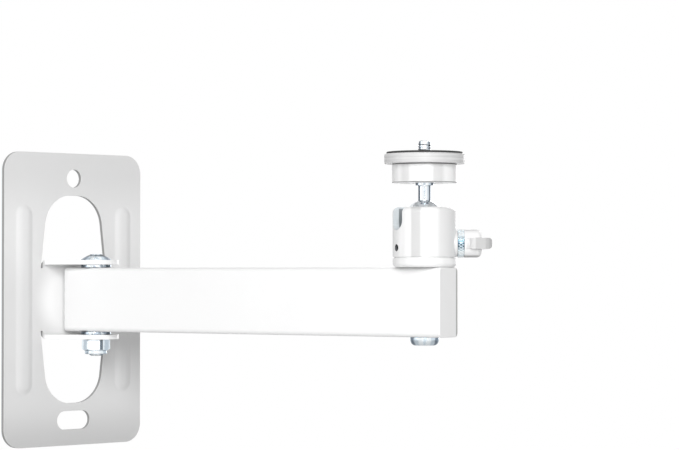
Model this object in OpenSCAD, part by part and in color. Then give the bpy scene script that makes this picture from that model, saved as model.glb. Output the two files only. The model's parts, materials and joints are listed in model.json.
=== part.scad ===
// Wall mount for a projector: a stamped wall plate with two folded ears,
// a rectangular tube arm that swings on a bolt, and a ball clamp at its end.
// Millimetres. The wall is the plane y = 0, the plate faces -Y and +Z is up.
// The origin is the centre of the plate's back face.

/* [Wall plate] */
// Width of the wall plate
plate_w = 91; // [84:1:120]
// Height of the wall plate
plate_h = 156; // [146:1:200]
// Thickness of the steel sheet
sheet_t = 2.4; // [1.5:0.1:3]
// Radius of the plate's corners
plate_corner_r = 10; // [4:0.5:14]
// Inside radius of the two folds
bend_r = 1.9; // [1.2:0.1:3]
// Diameter of the upper wall screw hole
wall_hole_d = 9.8; // [5:0.1:12]
// Width of the lower wall slot
wall_slot_w = 9.9; // [5:0.1:11]
// Length of the lower wall slot
wall_slot_l = 22; // [14:0.1:30]
// Distance from the plate's end to the wall hole's centre
wall_hole_inset = 13.4; // [11:0.1:16]

/* [Ears and windows] */
// Width of an ear at its fold
ear_base_w = 41; // [36:0.5:42]
// Radius of an ear's round tip
ear_tip_r = 12; // [10.5:0.1:14]
// Distance from the plate's end to a window's end
window_inset = 22.5; // [21:0.1:28]
// Width of a window at the fold
window_base_w = 44; // [42.5:0.1:46]
// Radius of a window's rounded shoulders
window_end_r = 17; // [14:0.1:18]
// Distance between the centres of a window's two shoulders
window_end_gap = 4.4; // [2:0.1:6]

/* [Embossed ribs] */
// Length of a rib
rib_l = 100; // [70:1:120]
// Width of a rib
rib_w = 10.6; // [8:0.1:12]
// How far a rib stands out of the plate
rib_rise = 1.3; // [0.8:0.1:2]
// Distance from the plate's centre line to a rib's centre line
rib_offset = 33; // [31:0.1:35]

/* [Pivot] */
// Distance from the wall to the pivot's axis
pivot_out = 21.5; // [21:0.1:28]
// Diameter of the pivot bolt's shank
pivot_d = 8; // [6:0.1:9]
// Thickness of a pivot washer
washer_t = 1.6; // [1:0.1:2.5]
// Outside diameter of a pivot washer
washer_d = 16; // [14.5:0.1:19]
// Diameter of the pivot bolt's domed head
bolt_head_d = 16.2; // [14:0.1:18]
// Height of the pivot bolt's domed head
bolt_head_h = 3.2; // [2.5:0.1:5]
// Width of the nut across its flats
nut_flats = 13; // [12.5:0.1:15]
// Height of the nut's hexagon
nut_h = 6; // [5:0.1:8]
// Height of the collar that holds the nut's nylon ring
nut_collar_h = 1.9; // [1.5:0.1:3]
// Length of the bolt's thread that stands out of the nut
bolt_tail = 0.9; // [0.4:0.1:3]

/* [Arm] */
// Distance from the pivot to the ball clamp's axis
arm_reach = 205.4; // [120:0.5:320]
// Height of the arm's tube
arm_h = 33.6; // [28:0.1:40]
// Width of the arm's tube
arm_w = 16.6; // [15:0.1:20]
// Wall thickness of the arm's tube
arm_wall = 1.5; // [1:0.1:2.5]
// Outside corner radius of the arm's tube
arm_corner_r = 2.2; // [1:0.1:3.5]
// How far the arm runs past the pivot, towards the wall
arm_tail = 15; // [13:0.1:16]
// How far the arm runs past the ball clamp's axis
arm_nose = 13.7; // [10:0.1:25]
// Thickness of an end cap's rim
cap_rim_t = 2.1; // [1:0.1:3]
// How far an end cap's plug reaches into the tube
cap_plug_l = 5; // [3:0.1:6]
// Outside diameter of the spacer sleeves inside the arm
sleeve_d = 12; // [11:0.1:13]
// Angle at which the arm stands away from the plate's middle
arm_swing = 12.1; // [-80:0.1:80]

/* [Clamp screw] */
// Diameter of the screw that holds the ball clamp
clamp_screw_d = 8; // [6:0.1:9]
// Diameter of that screw's button head
button_d = 14.1; // [12:0.1:16]
// Height of that screw's button head
button_h = 4; // [3:0.1:5]

/* [Ball clamp] */
// Outside diameter of the ball clamp
clamp_d = 30.8; // [29:0.1:36]
// Height of the ball clamp's base ring
base_h = 4.4; // [3.5:0.1:6]
// Height of the ball clamp, base ring included
clamp_h = 29; // [28.6:0.1:32]
// Width of the groove above the base ring
groove_w = 0.5; // [0.2:0.1:1]
// Radius of the clamp's top edge
clamp_top_r = 2.8; // [1:0.1:4]
// Radius of the base ring's lower edge
base_edge_r = 2.1; // [0.5:0.1:3]
// Diameter of the ball
ball_d = 20.2; // [18:0.1:20.4]
// Height of the ball's centre above the arm
ball_z = 22.5; // [21.8:0.1:23]
// Radius of the clamp's mouth
mouth_r = 8.3; // [7.4:0.1:8.8]
// Width of the slot that lets the stem fold down
slot_w = 9; // [8:0.1:10]
// Direction of that slot, counted round the clamp from the arm's side
slot_dir = 151; // [100:1:200]
// Diameter of the guide pin
guide_pin_d = 3.2; // [2:0.1:4]
// Height of the guide pin above the arm
guide_pin_z = 9.4; // [8.6:0.1:10.4]

/* [Lock knob] */
// Diameter of the lock screw
lock_d = 6; // [5:0.1:7]
// Height of the lock screw above the arm
lock_z = 11.5; // [11.4:0.1:12]
// Direction of the lock screw, counted round the clamp from the arm's side
lock_dir = -56; // [-80:1:-30]
// Diameter of the knob's hub and of its metal ring
knob_d = 13.5; // [11:0.1:13.8]
// Width of the knob's metal ring
knob_ring_w = 3.2; // [2:0.1:5]
// Length of the knob's hub
knob_hub_l = 8.4; // [6:0.1:12]
// Thickness of the knob's wing
wing_t = 5.3; // [4:0.1:7]
// Span of the knob's wing
wing_w = 18; // [14:0.1:26]
// How far the wing stands out of the hub
wing_l = 4.9; // [3:0.1:9]

/* [Platform] */
// Diameter of the ball's stem
stem_d = 6.2; // [5.5:0.1:6.3]
// Distance from the ball's centre to the lock ring's underside
stem_l = 18.2; // [17:0.1:30]
// Diameter of the collar below the lock ring
collar_d = 8.8; // [8.2:0.1:11]
// Height of the collar below the lock ring
collar_h = 1.4; // [1:0.1:3]
// Diameter of the thread that carries the lock ring and the platform
shaft_d = 8; // [7:0.1:8]
// Diameter of the lock ring
ring_d = 31.4; // [26:0.1:38]
// Height of the lock ring
ring_h = 9.1; // [6:0.1:14]
// Diameter of the platform
platform_d = 38.8; // [30:0.1:42]
// Height of the platform
platform_h = 4.8; // [3.5:0.1:8]
// Thickness of the rubber pad on the platform
pad_t = 1; // [0.6:0.1:2]
// Radius of the camera thread that holds the projector
stud_r = 3.175; // [3:0.005:5]
// Length of the camera thread that stands out of the pad
stud_l = 5.5; // [4:0.1:9]

/* [Fits] */
// Radial clearance of a turning fit
fit = 0.08; // [0.02:0.01:0.1]
// Gap beside a face that turns past another
gap = 0.1; // [0.05:0.01:0.3]

/* [Hidden] */
$fn = 96;
// A small overlap between joined shapes, and how far a cut runs past a face
eps = 0.01;
cut = 1;

// Places and radii that follow from the sizes above
ear_inner_z = arm_h / 2 + gap + washer_t;
ear_outer_z = ear_inner_z + sheet_t;
web_half_h = ear_inner_z - bend_r;
bend_outer_r = bend_r + sheet_t;
fold_y = -(sheet_t + bend_r);
window_end_z = plate_h / 2 - window_inset - window_end_r;
pivot_bore_r = pivot_d / 2 + fit;
bolt_end_z = ear_outer_z + nut_h + nut_collar_h + bolt_tail;
arm_length = arm_tail + arm_reach + arm_nose;
arm_in_h = arm_h - 2 * arm_wall;
arm_in_w = arm_w - 2 * arm_wall;
clamp_r = clamp_d / 2;
ball_r = ball_d / 2;
seat_r = ball_r + fit;
bore_r = ball_r + 0.7;
plunger_r = bore_r - 0.15;
lock_boss_x = clamp_r + 0.3;
ring_x = lock_boss_x + gap;
hub_x = ring_x + knob_ring_w;
shaft_bore_r = shaft_d / 2 + fit;
ring_z = ball_z + stem_l;
platform_z = ring_z + ring_h + gap;
pad_z = platform_z + platform_h;
pad_top_z = pad_z + pad_t;

// Slope of a rib's edge
rib_edge = 1.1;
// Width across the flats of the hexagon sockets in the bolt and the button head, and their depths
socket_flats = 5;
bolt_socket = 2;
button_socket = 2.4;
// What the nut's corners lose to its chamfer, its collar's radius, and the nylon ring in it
nut_chamfer = 0.5;
nut_collar_r = 5.9;
nut_insert_t = 1.3;
nut_lip = 0.3;
// Inside corners of the tube, and the walls and corners of the plugs in it
arm_in_corner_r = 1;
plug_wall = 1.6;
plug_corner_r = 0.6;
// The button head: its cylindrical edge, and how far its rounding reaches in
button_edge_h = 1;
button_round = 2.4;
// The clamp's spigot and bore, its groove, and the roof left over the clamp screw
spigot_r = 8.4;
spigot_h = 3;
screw_roof = 1;
groove_depth = 0.8;
base_top_r = 0.4;
housing_foot_r = 0.5;
lock_boss_r = 6.4;
// The nylon cup, and the plunger that carries it
liner_t = 1;
liner_angle = 34;
plunger_foot = 0.3;
plunger_drop = 5.6;
// The guide pin: how far it enters the plunger, and how far it lies below the surface
pin_in = 2;
pin_sunk = 1;
// The lock screw: its cone, where the cone's end is, and the notch it enters
screw_tip_x = 7.2;
screw_tip_l = 2;
screw_tip_r = 1.4;
screw_notch = 0.4;
screw_notch_l = 1.2;
// The knob: how its hub and its wing are rounded, and the cover over the screw's end
hub_edge_r = 0.3;
hub_end_r = 2.4;
wing_corner_r = 4;
wing_edge_r = 1.9;
wing_root = 2;
knob_cover = 1;
// Edges of the knob's metal ring
knob_ring_edge_r = 0.4;
// The ball's waist, and the camera thread's end
waist_r = 0.6;
stud_edge = 0.5;
// Edges of the lock ring, the platform and the pad
ring_low_r = 0.8;
platform_low_r = 1;
top_edge_r = 0.6;
pad_inset = 1;
pad_low_r = 0.1;
pad_top_r = 0.3;

// The arm's frame: the pivot's axis is the origin and the arm runs along -Y
module on_arm() {
    translate([0, -pivot_out, 0])
        rotate([0, 0, arm_swing])
            children();
}

// The ball clamp's frame: its axis, standing on the arm's upper face
module on_clamp() {
    on_arm()
        translate([0, -arm_reach, arm_h / 2])
            children();
}

// A frame whose X axis points out of the clamp in the given direction
module towards(direction) {
    rotate([0, 0, direction])
        children();
}

// A plain disc with rounded upper and lower edges, standing on z = 0
module rounded_disc(r, h, low_r, top_r) {
    rotate_extrude()
        union() {
            translate([0, low_r])
                square([r, h - low_r - top_r]);
            square([r - low_r, low_r + eps]);
            translate([0, h - top_r - eps])
                square([r - top_r, top_r + eps]);
            translate([r - low_r, low_r])
                circle(low_r);
            translate([r - top_r, h - top_r])
                circle(top_r);
        }
}

// A rectangle with round corners, centred
module rounded_rectangle(w, h, r) {
    union() {
        square([w - 2 * r, h], center = true);
        square([w, h - 2 * r], center = true);
        for (x = [-1, 1], y = [-1, 1])
            translate([x * (w / 2 - r), y * (h / 2 - r)])
                circle(r);
    }
}

// The outline of a slot with round ends, along X
module slot_outline(length, width) {
    square([length - width, width], center = true);
    for (side = [-1, 1])
        translate([side * (length - width) / 2, 0])
            circle(width / 2);
}

// Lays an outline drawn in X and Z into the wall's plane, from y = 0 forward
module in_wall(thickness) {
    rotate([90, 0, 0])
        linear_extrude(thickness)
            children();
}

// One window: straight sides that lean in from the fold to two round shoulders
module window_outline() {
    shoulder_x = window_end_gap / 2;
    side_x = shoulder_x + window_end_r;
    polygon([
        [-window_base_w / 2, web_half_h],
        [window_base_w / 2, web_half_h],
        [side_x, window_end_z],
        [shoulder_x, window_end_z + window_end_r],
        [-shoulder_x, window_end_z + window_end_r],
        [-side_x, window_end_z]
    ]);
    for (side = [-1, 1])
        translate([side * shoulder_x, window_end_z])
            circle(window_end_r);
}

// An ear seen from above: straight sides that run from the fold to touch the
// round tip, whose centre is the pivot
module ear_outline() {
    run = pivot_out + fold_y;
    half = ear_base_w / 2;
    lean = acos(ear_tip_r / norm([half, run])) - atan2(run, half);
    touch_x = ear_tip_r * cos(lean);
    touch_y = -pivot_out - ear_tip_r * sin(lean);
    polygon([
        [-half, cut],
        [-half, fold_y],
        [-touch_x, touch_y],
        [touch_x, touch_y],
        [half, fold_y],
        [half, cut]
    ]);
    translate([0, -pivot_out])
        circle(ear_tip_r);
}

// The sheet between the ears and both folds, seen from the side
module channel_outline() {
    depth = 2 * (pivot_out + ear_tip_r);
    difference() {
        translate([-depth / 2, 0])
            rounded_rectangle(depth, 2 * ear_outer_z, bend_outer_r);
        translate([-depth / 2 - sheet_t, 0])
            rounded_rectangle(depth, 2 * ear_inner_z, bend_r);
    }
}

// Both ears with their folds and the web between them, bored for the pivot
module folded_ears() {
    difference() {
        intersection() {
            rotate([90, 0, 90])
                translate([0, 0, -ear_base_w / 2])
                    linear_extrude(ear_base_w)
                        channel_outline();
            translate([0, 0, -ear_outer_z - cut])
                linear_extrude(2 * (ear_outer_z + cut))
                    ear_outline();
        }
        translate([0, -pivot_out, -ear_outer_z - cut])
            cylinder(h = 2 * (ear_outer_z + cut), r = pivot_bore_r);
    }
}

// A rib's solid, grown by a margin: the hollow behind a rib has the same form
module rib_form(margin, rise) {
    half = rib_w / 2 + margin;
    for (end = [-1, 1])
        translate([0, 0, end * (rib_l - rib_w) / 2])
            rotate([90, 0, 0])
                cylinder(h = rise, r1 = half, r2 = half - rib_edge);
    translate([0, 0, -(rib_l - rib_w) / 2])
        linear_extrude(rib_l - rib_w)
            polygon([
                [-half, 0],
                [half, 0],
                [half - rib_edge, -rise],
                [-half + rib_edge, -rise]
            ]);
}

// Stamped and folded from one steel sheet
module wall_plate() {
    color("white")
        difference() {
            union() {
                in_wall(sheet_t)
                    difference() {
                        rounded_rectangle(plate_w, plate_h, plate_corner_r);
                        window_outline();
                        mirror([0, 1, 0])
                            window_outline();
                        translate([0, plate_h / 2 - wall_hole_inset])
                            circle(wall_hole_d / 2);
                        translate([0, wall_hole_inset - plate_h / 2])
                            slot_outline(wall_slot_l, wall_slot_w);
                    }
                for (side = [-1, 1])
                    translate([side * rib_offset, -sheet_t, 0])
                        rib_form(0, rib_rise);
                folded_ears();
            }
            for (side = [-1, 1])
                translate([side * rib_offset, 0, 0])
                    rib_form(-rib_edge, rib_rise);
        }
}

// Domed head, plain shank and thread end in one piece
module pivot_bolt() {
    dome_r = (bolt_head_h * bolt_head_h + bolt_head_d * bolt_head_d / 4) / (2 * bolt_head_h);
    color("silver")
        translate([0, -pivot_out, 0])
            difference() {
                union() {
                    translate([0, 0, -bolt_end_z])
                        cylinder(h = bolt_end_z + ear_outer_z + eps, r = pivot_d / 2);
                    intersection() {
                        translate([0, 0, ear_outer_z + bolt_head_h - dome_r])
                            sphere(dome_r);
                        translate([0, 0, ear_outer_z])
                            cylinder(h = bolt_head_h + cut, r = bolt_head_d / 2);
                    }
                }
                translate([0, 0, ear_outer_z + bolt_head_h - bolt_socket])
                    cylinder(h = bolt_socket + cut, r = socket_flats / sqrt(3), $fn = 6);
            }
}

// A plain steel washer whose lower face is at the given height
module washer_at(z) {
    color("silver")
        translate([0, -pivot_out, z])
            difference() {
                cylinder(h = washer_t, r = washer_d / 2);
                translate([0, 0, -cut])
                    cylinder(h = washer_t + 2 * cut, r = pivot_bore_r + fit);
            }
}

module upper_washer() {
    washer_at(ear_inner_z - washer_t);
}

module lower_washer() {
    washer_at(-ear_inner_z);
}

// Hexagon nut with chamfered corners and a collar round its nylon ring
module pivot_nut() {
    corner_r = nut_flats / sqrt(3);
    color("silver")
        translate([0, -pivot_out, -ear_outer_z])
            mirror([0, 0, 1])
                difference() {
                    union() {
                        intersection() {
                            cylinder(h = nut_h, r = corner_r, $fn = 6);
                            cylinder(h = nut_h, r1 = corner_r + nut_h - nut_chamfer, r2 = corner_r - nut_chamfer);
                        }
                        cylinder(h = nut_h + nut_collar_h, r = nut_collar_r);
                    }
                    translate([0, 0, -cut])
                        cylinder(h = nut_h + 2 * cut, r = pivot_d / 2);
                    translate([0, 0, nut_h])
                        cylinder(h = nut_collar_h + cut, r = pivot_d / 2 + nut_insert_t);
                }
}

// Nylon ring that grips the thread
module nut_insert() {
    color("lightblue")
        translate([0, -pivot_out, -ear_outer_z - nut_h - nut_collar_h + nut_lip])
            difference() {
                cylinder(h = nut_collar_h - nut_lip, r = pivot_d / 2 + nut_insert_t);
                translate([0, 0, -cut])
                    cylinder(h = nut_collar_h + 2 * cut, r = pivot_d / 2);
            }
}

// Rectangular steel tube with a hole pair at the pivot and one at the clamp
module arm_tube() {
    tube_l = arm_length - 2 * cap_rim_t;
    color("white")
        on_arm()
            difference() {
                translate([0, arm_tail - cap_rim_t, 0])
                    rotate([90, 0, 0])
                        linear_extrude(tube_l)
                            difference() {
                                rounded_rectangle(arm_w, arm_h, arm_corner_r);
                                rounded_rectangle(arm_in_w, arm_in_h, arm_in_corner_r);
                            }
                translate([0, 0, -arm_h])
                    cylinder(h = 2 * arm_h, r = pivot_bore_r);
                translate([0, -arm_reach, -arm_h])
                    cylinder(h = 2 * arm_h, r = clamp_screw_d / 2 + fit);
            }
}

// Plastic cap: a rim that covers the tube's end and a hollow plug inside it
module end_cap() {
    rotate([90, 0, 0]) {
        linear_extrude(cap_rim_t)
            rounded_rectangle(arm_w, arm_h, arm_corner_r);
        translate([0, 0, -cap_plug_l])
            linear_extrude(cap_plug_l + eps)
                difference() {
                    rounded_rectangle(arm_in_w - 2 * gap, arm_in_h - 2 * gap, plug_corner_r);
                    square([arm_in_w - 2 * plug_wall, arm_in_h - 2 * plug_wall], center = true);
                }
    }
}

module outer_end_cap() {
    color("gainsboro")
        on_arm()
            translate([0, cap_rim_t - arm_reach - arm_nose, 0])
                end_cap();
}

module inner_end_cap() {
    color("gainsboro")
        on_arm()
            translate([0, arm_tail - cap_rim_t, 0])
                rotate([0, 0, 180])
                    end_cap();
}

// Steel sleeve that keeps the tube from closing when its bolt is tightened
module sleeve(bore_d) {
    translate([0, 0, -arm_in_h / 2])
        difference() {
            cylinder(h = arm_in_h, r = sleeve_d / 2);
            translate([0, 0, -cut])
                cylinder(h = arm_in_h + 2 * cut, r = bore_d / 2 + fit);
        }
}

module pivot_sleeve() {
    color("silver")
        on_arm()
            sleeve(pivot_d);
}

module clamp_sleeve() {
    color("silver")
        on_arm()
            translate([0, -arm_reach, 0])
                sleeve(clamp_screw_d);
}

// Button-head screw from below, through the arm and into the clamp's base
module clamp_screw() {
    round_r = button_h - button_edge_h;
    color("silver")
        on_arm()
            translate([0, -arm_reach, -arm_h / 2])
                difference() {
                    union() {
                        cylinder(h = arm_h + base_h + spigot_h - screw_roof, r = clamp_screw_d / 2);
                        rotate_extrude()
                            intersection() {
                                translate([0, -button_h])
                                    square([button_d / 2, button_h]);
                                union() {
                                    translate([0, -button_edge_h])
                                        square([button_d / 2, button_edge_h]);
                                    translate([0, -button_h])
                                        square([button_d / 2 - button_round, button_h]);
                                    translate([button_d / 2 - round_r, -button_edge_h])
                                        circle(round_r);
                                }
                            }
                    }
                    translate([0, 0, -button_h - cut])
                        cylinder(h = button_socket + cut, r = socket_flats / sqrt(3), $fn = 6);
                }
}

// Base ring with a spigot that enters the housing, bored for the clamp screw
module clamp_base() {
    color("white")
        on_clamp()
            difference() {
                union() {
                    rounded_disc(clamp_r, base_h, base_edge_r, base_top_r);
                    translate([0, 0, base_h - eps])
                        cylinder(h = groove_w + eps, r = clamp_r - groove_depth);
                    cylinder(h = base_h + spigot_h, r = spigot_r);
                }
                translate([0, 0, -cut])
                    cylinder(h = base_h + spigot_h - screw_roof + cut, r = clamp_screw_d / 2);
            }
}

// Turned cylinder with a ball seat under its mouth, a stem slot and a boss
module clamp_housing() {
    foot_z = base_h + groove_w;
    color("white")
        on_clamp()
            difference() {
                union() {
                    translate([0, 0, foot_z])
                        rounded_disc(clamp_r, clamp_h - foot_z, housing_foot_r, clamp_top_r);
                    towards(lock_dir)
                        translate([0, 0, lock_z])
                            rotate([0, 90, 0])
                                cylinder(h = lock_boss_x, r = lock_boss_r);
                }
                translate([0, 0, foot_z - cut])
                    cylinder(h = ball_z - foot_z + cut, r = bore_r);
                translate([0, 0, ball_z])
                    sphere(seat_r);
                translate([0, 0, ball_z])
                    cylinder(h = clamp_h, r = mouth_r);
                towards(slot_dir)
                    translate([0, 0, ball_z])
                        rotate([0, 90, 0])
                            cylinder(h = clamp_d, r = slot_w / 2);
                towards(slot_dir)
                    translate([0, -slot_w / 2, ball_z])
                        cube([clamp_d, slot_w, clamp_h]);
                towards(slot_dir)
                    translate([0, 0, guide_pin_z])
                        rotate([0, 90, 0])
                            cylinder(h = clamp_d, r = guide_pin_d / 2);
                towards(lock_dir)
                    translate([0, 0, lock_z])
                        rotate([0, 90, 0])
                            cylinder(h = clamp_d, r = lock_d / 2 + fit);
            }
}

// Pin that keeps the plunger from turning in the housing
module guide_pin() {
    color("silver")
        on_clamp()
            towards(slot_dir)
                translate([plunger_r - pin_in, 0, guide_pin_z])
                    rotate([0, 90, 0])
                        cylinder(h = clamp_r - pin_sunk - plunger_r + pin_in, r = guide_pin_d / 2);
}

// Plunger under the ball: the lock screw's cone lifts it against the ball
module seat_plunger() {
    foot_z = base_h + spigot_h + plunger_foot;
    color("goldenrod")
        on_clamp()
            difference() {
                translate([0, 0, foot_z])
                    cylinder(h = ball_z - plunger_drop - foot_z, r = plunger_r);
                translate([0, 0, ball_z])
                    sphere(seat_r + liner_t + fit);
                towards(slot_dir)
                    translate([plunger_r - pin_in - gap, 0, guide_pin_z])
                        rotate([0, 90, 0])
                            cylinder(h = pin_in + cut, r = guide_pin_d / 2 + fit);
                towards(lock_dir)
                    translate([screw_tip_x - screw_notch_l, 0, lock_z])
                        rotate([0, 90, 0])
                            cylinder(h = clamp_r, r = lock_d / 2 + screw_notch);
            }
}

// Thin nylon cup between the ball and its plunger
module ball_liner() {
    color("ivory")
        on_clamp()
            translate([0, 0, ball_z])
                rotate_extrude()
                    intersection() {
                        difference() {
                            circle(seat_r + liner_t);
                            circle(seat_r);
                        }
                        polygon([
                            [0, 0],
                            [0, -ball_d],
                            [ball_d * tan(liner_angle), -ball_d]
                        ]);
                    }
}

// Threaded screw with a cone tip that enters the plunger
module lock_screw() {
    shank_x = screw_tip_x + screw_tip_l;
    color("silver")
        on_clamp()
            towards(lock_dir)
                translate([screw_tip_x, 0, lock_z])
                    rotate([0, 90, 0])
                        union() {
                            cylinder(h = screw_tip_l, r1 = screw_tip_r, r2 = lock_d / 2);
                            translate([0, 0, screw_tip_l])
                                cylinder(h = hub_x + knob_hub_l - knob_cover - shank_x, r = lock_d / 2);
                        }
}

// Knurled zinc ring pressed on the hub's inner end
module knob_ring() {
    color("silver")
        on_clamp()
            towards(lock_dir)
                translate([ring_x, 0, lock_z])
                    rotate([0, 90, 0])
                        difference() {
                            rounded_disc(knob_d / 2, knob_ring_w, knob_ring_edge_r, knob_ring_edge_r);
                            translate([0, 0, -cut])
                                cylinder(h = knob_ring_w + 2 * cut, r = lock_d / 2);
                        }
}

// Moulded knob: a round hub with a flat wing to turn it by
module lock_knob() {
    wing_length = knob_hub_l + wing_l - wing_root;
    color("white")
        on_clamp()
            towards(lock_dir)
                translate([hub_x, 0, lock_z])
                    difference() {
                        union() {
                            rotate([0, 90, 0])
                                rounded_disc(knob_d / 2, knob_hub_l, hub_edge_r, hub_end_r);
                            translate([wing_root + wing_length / 2, 0, 0])
                                intersection() {
                                    translate([0, 0, -wing_t / 2])
                                        linear_extrude(wing_t)
                                            rounded_rectangle(wing_length, wing_w, wing_corner_r);
                                    rotate([90, 0, 0])
                                        translate([0, 0, -wing_w / 2])
                                            linear_extrude(wing_w)
                                                rounded_rectangle(wing_length, wing_t, wing_edge_r);
                                }
                        }
                        translate([-cut, 0, 0])
                            rotate([0, 90, 0])
                                cylinder(h = knob_hub_l - knob_cover + cut, r = lock_d / 2);
                    }
}

// Ball, waisted stem, collar, threaded shaft and camera thread, turned from one bar
module ball_stem() {
    stem_r = stem_d / 2;
    waist_z = sqrt(pow(ball_r + waist_r, 2) - pow(stem_r + waist_r, 2));
    touch = ball_r / (ball_r + waist_r);
    color("silver")
        on_clamp()
            translate([0, 0, ball_z])
                rotate_extrude()
                    union() {
                        intersection() {
                            circle(ball_r);
                            translate([0, -ball_r])
                                square([ball_r, 2 * ball_r]);
                        }
                        difference() {
                            polygon([
                                [0, 0],
                                [(stem_r + waist_r) * touch, waist_z * touch],
                                [stem_r + waist_r, waist_z],
                                [0, waist_z]
                            ]);
                            translate([stem_r + waist_r, waist_z])
                                circle(waist_r);
                        }
                        square([stem_r, stem_l]);
                        translate([0, stem_l - collar_h])
                            square([collar_d / 2, collar_h]);
                        translate([0, stem_l - collar_h])
                            square([shaft_d / 2, pad_z - ring_z + collar_h]);
                        translate([0, pad_z - ball_z - eps])
                            square([stud_r, pad_t + stud_l - stud_edge + eps]);
                        translate([0, pad_z - ball_z])
                            square([stud_r - stud_edge, pad_t + stud_l]);
                    }
}

// Threaded ring that jams against the platform
module lock_ring() {
    color("white")
        on_clamp()
            translate([0, 0, ring_z])
                difference() {
                    rounded_disc(ring_d / 2, ring_h, ring_low_r, top_edge_r);
                    translate([0, 0, -cut])
                        cylinder(h = ring_h + 2 * cut, r = shaft_bore_r);
                }
}

// Round platform that the projector stands on
module platform() {
    color("white")
        on_clamp()
            translate([0, 0, platform_z])
                difference() {
                    rounded_disc(platform_d / 2, platform_h, platform_low_r, top_edge_r);
                    translate([0, 0, -cut])
                        cylinder(h = platform_h + 2 * cut, r = shaft_bore_r);
                }
}

// Rubber ring glued on the platform
module rubber_pad() {
    color("dimgray")
        on_clamp()
            translate([0, 0, pad_z])
                difference() {
                    rounded_disc(platform_d / 2 - pad_inset, pad_t, pad_low_r, pad_top_r);
                    translate([0, 0, -cut])
                        cylinder(h = pad_t + 2 * cut, r = shaft_bore_r + pad_inset);
                }
}

wall_plate();
pivot_bolt();
upper_washer();
lower_washer();
pivot_nut();
nut_insert();
arm_tube();
outer_end_cap();
inner_end_cap();
pivot_sleeve();
clamp_sleeve();
clamp_screw();
clamp_base();
clamp_housing();
guide_pin();
seat_plunger();
ball_liner();
lock_screw();
knob_ring();
lock_knob();
ball_stem();
lock_ring();
platform();
rubber_pad();
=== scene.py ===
import json
import math

import bmesh
import bpy
from mathutils import Matrix, Vector
from mathutils.geometry import delaunay_2d_cdt


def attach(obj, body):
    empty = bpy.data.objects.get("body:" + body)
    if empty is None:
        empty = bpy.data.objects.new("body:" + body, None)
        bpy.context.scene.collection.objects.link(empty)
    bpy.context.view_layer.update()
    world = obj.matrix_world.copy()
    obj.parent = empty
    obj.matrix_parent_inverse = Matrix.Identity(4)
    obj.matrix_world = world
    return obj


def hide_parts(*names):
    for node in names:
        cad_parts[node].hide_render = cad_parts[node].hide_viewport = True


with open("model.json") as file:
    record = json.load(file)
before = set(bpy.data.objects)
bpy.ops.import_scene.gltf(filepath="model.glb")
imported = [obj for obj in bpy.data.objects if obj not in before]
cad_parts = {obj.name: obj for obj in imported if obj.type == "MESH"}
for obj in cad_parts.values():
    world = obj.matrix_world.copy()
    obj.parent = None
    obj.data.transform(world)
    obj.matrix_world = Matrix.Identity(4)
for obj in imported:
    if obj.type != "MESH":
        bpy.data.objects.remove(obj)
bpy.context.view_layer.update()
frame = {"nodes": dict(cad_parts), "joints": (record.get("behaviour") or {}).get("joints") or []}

MM = 0.001
joints = {joint["name"]: joint for joint in frame["joints"]}
pivot_at = Vector(joints["arm_swing"]["pos_m"])
ball_at = Vector(joints["ball_tilt"]["pos_m"])

# The camera stands where the photograph's stood: level with the arm, to the left of the wall
# plate's middle and about 1.3 m away, looking up by one degree.
CAMERA_AT = (-0.7912, -1.0339, 0.0147)
CAMERA_TURN = -43.77
CAMERA_TILT = 1.11
FOCAL_PX = 2412
PHOTO_PX = 679
SENSOR = 36
camera_data = bpy.data.cameras.new("camera")
camera_data.sensor_fit = "HORIZONTAL"
camera_data.sensor_width = SENSOR
camera_data.lens = FOCAL_PX / PHOTO_PX * SENSOR
camera_data.clip_end = 20
camera = bpy.data.objects.new("camera", camera_data)
camera.location = CAMERA_AT
camera.rotation_euler = (math.radians(90 + CAMERA_TILT), 0, math.radians(CAMERA_TURN))
bpy.context.scene.collection.objects.link(camera)
bpy.context.scene.camera = camera

# Soft studio light: a lamp high in front and to the left lights the whole mount, a weaker one
# low on the left whitens the arm's near side, and a third one lights the plate from behind. The
# sky fills the rest and shows white to the camera and in metal, and a pale floor lies below.
KEY_AT = (-0.967, -1.284, 0.5535)
KEY_WATTS = 19
KEY_SIZE = 0.8
SIDE_AT = (-1.53, 0.41, 0.22)
SIDE_WATTS = 2.5
SIDE_SIZE = 0.7
BACK_AT = (1.4, 0.6, 0.35)
BACK_WATTS = 10
BACK_SIZE = 0.9
SKY_LIGHT = 0.34
FLOOR_Z = -0.34
FLOOR_SIDE = 2.6
FLOOR_TONE = 0.8
FLOOR_SEEN = 0.3


def add_lamp(name, at, aim, watts, side):
    data = bpy.data.lights.new(name, "AREA")
    data.energy = watts
    data.size = side
    lamp = bpy.data.objects.new(name, data)
    lamp.location = at
    lamp.rotation_euler = (Vector(aim) - Vector(at)).to_track_quat("-Z", "Y").to_euler()
    bpy.context.scene.collection.objects.link(lamp)
    return lamp


arm_middle = (pivot_at + ball_at) / 2
add_lamp("key_lamp", KEY_AT, arm_middle, KEY_WATTS, KEY_SIZE)
add_lamp("side_lamp", SIDE_AT, arm_middle, SIDE_WATTS, SIDE_SIZE)
add_lamp("back_lamp", BACK_AT, arm_middle, BACK_WATTS, BACK_SIZE)


def seen_directly(nodes, links):
    path = nodes.new("ShaderNodeLightPath")
    camera_or_gloss = nodes.new("ShaderNodeMath")
    camera_or_gloss.operation = "MAXIMUM"
    links.new(path.outputs["Is Camera Ray"], camera_or_gloss.inputs[0])
    links.new(path.outputs["Is Glossy Ray"], camera_or_gloss.inputs[1])
    any_of_three = nodes.new("ShaderNodeMath")
    any_of_three.operation = "MAXIMUM"
    links.new(camera_or_gloss.outputs[0], any_of_three.inputs[0])
    links.new(path.outputs["Is Transmission Ray"], any_of_three.inputs[1])
    return any_of_three.outputs[0]


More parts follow.
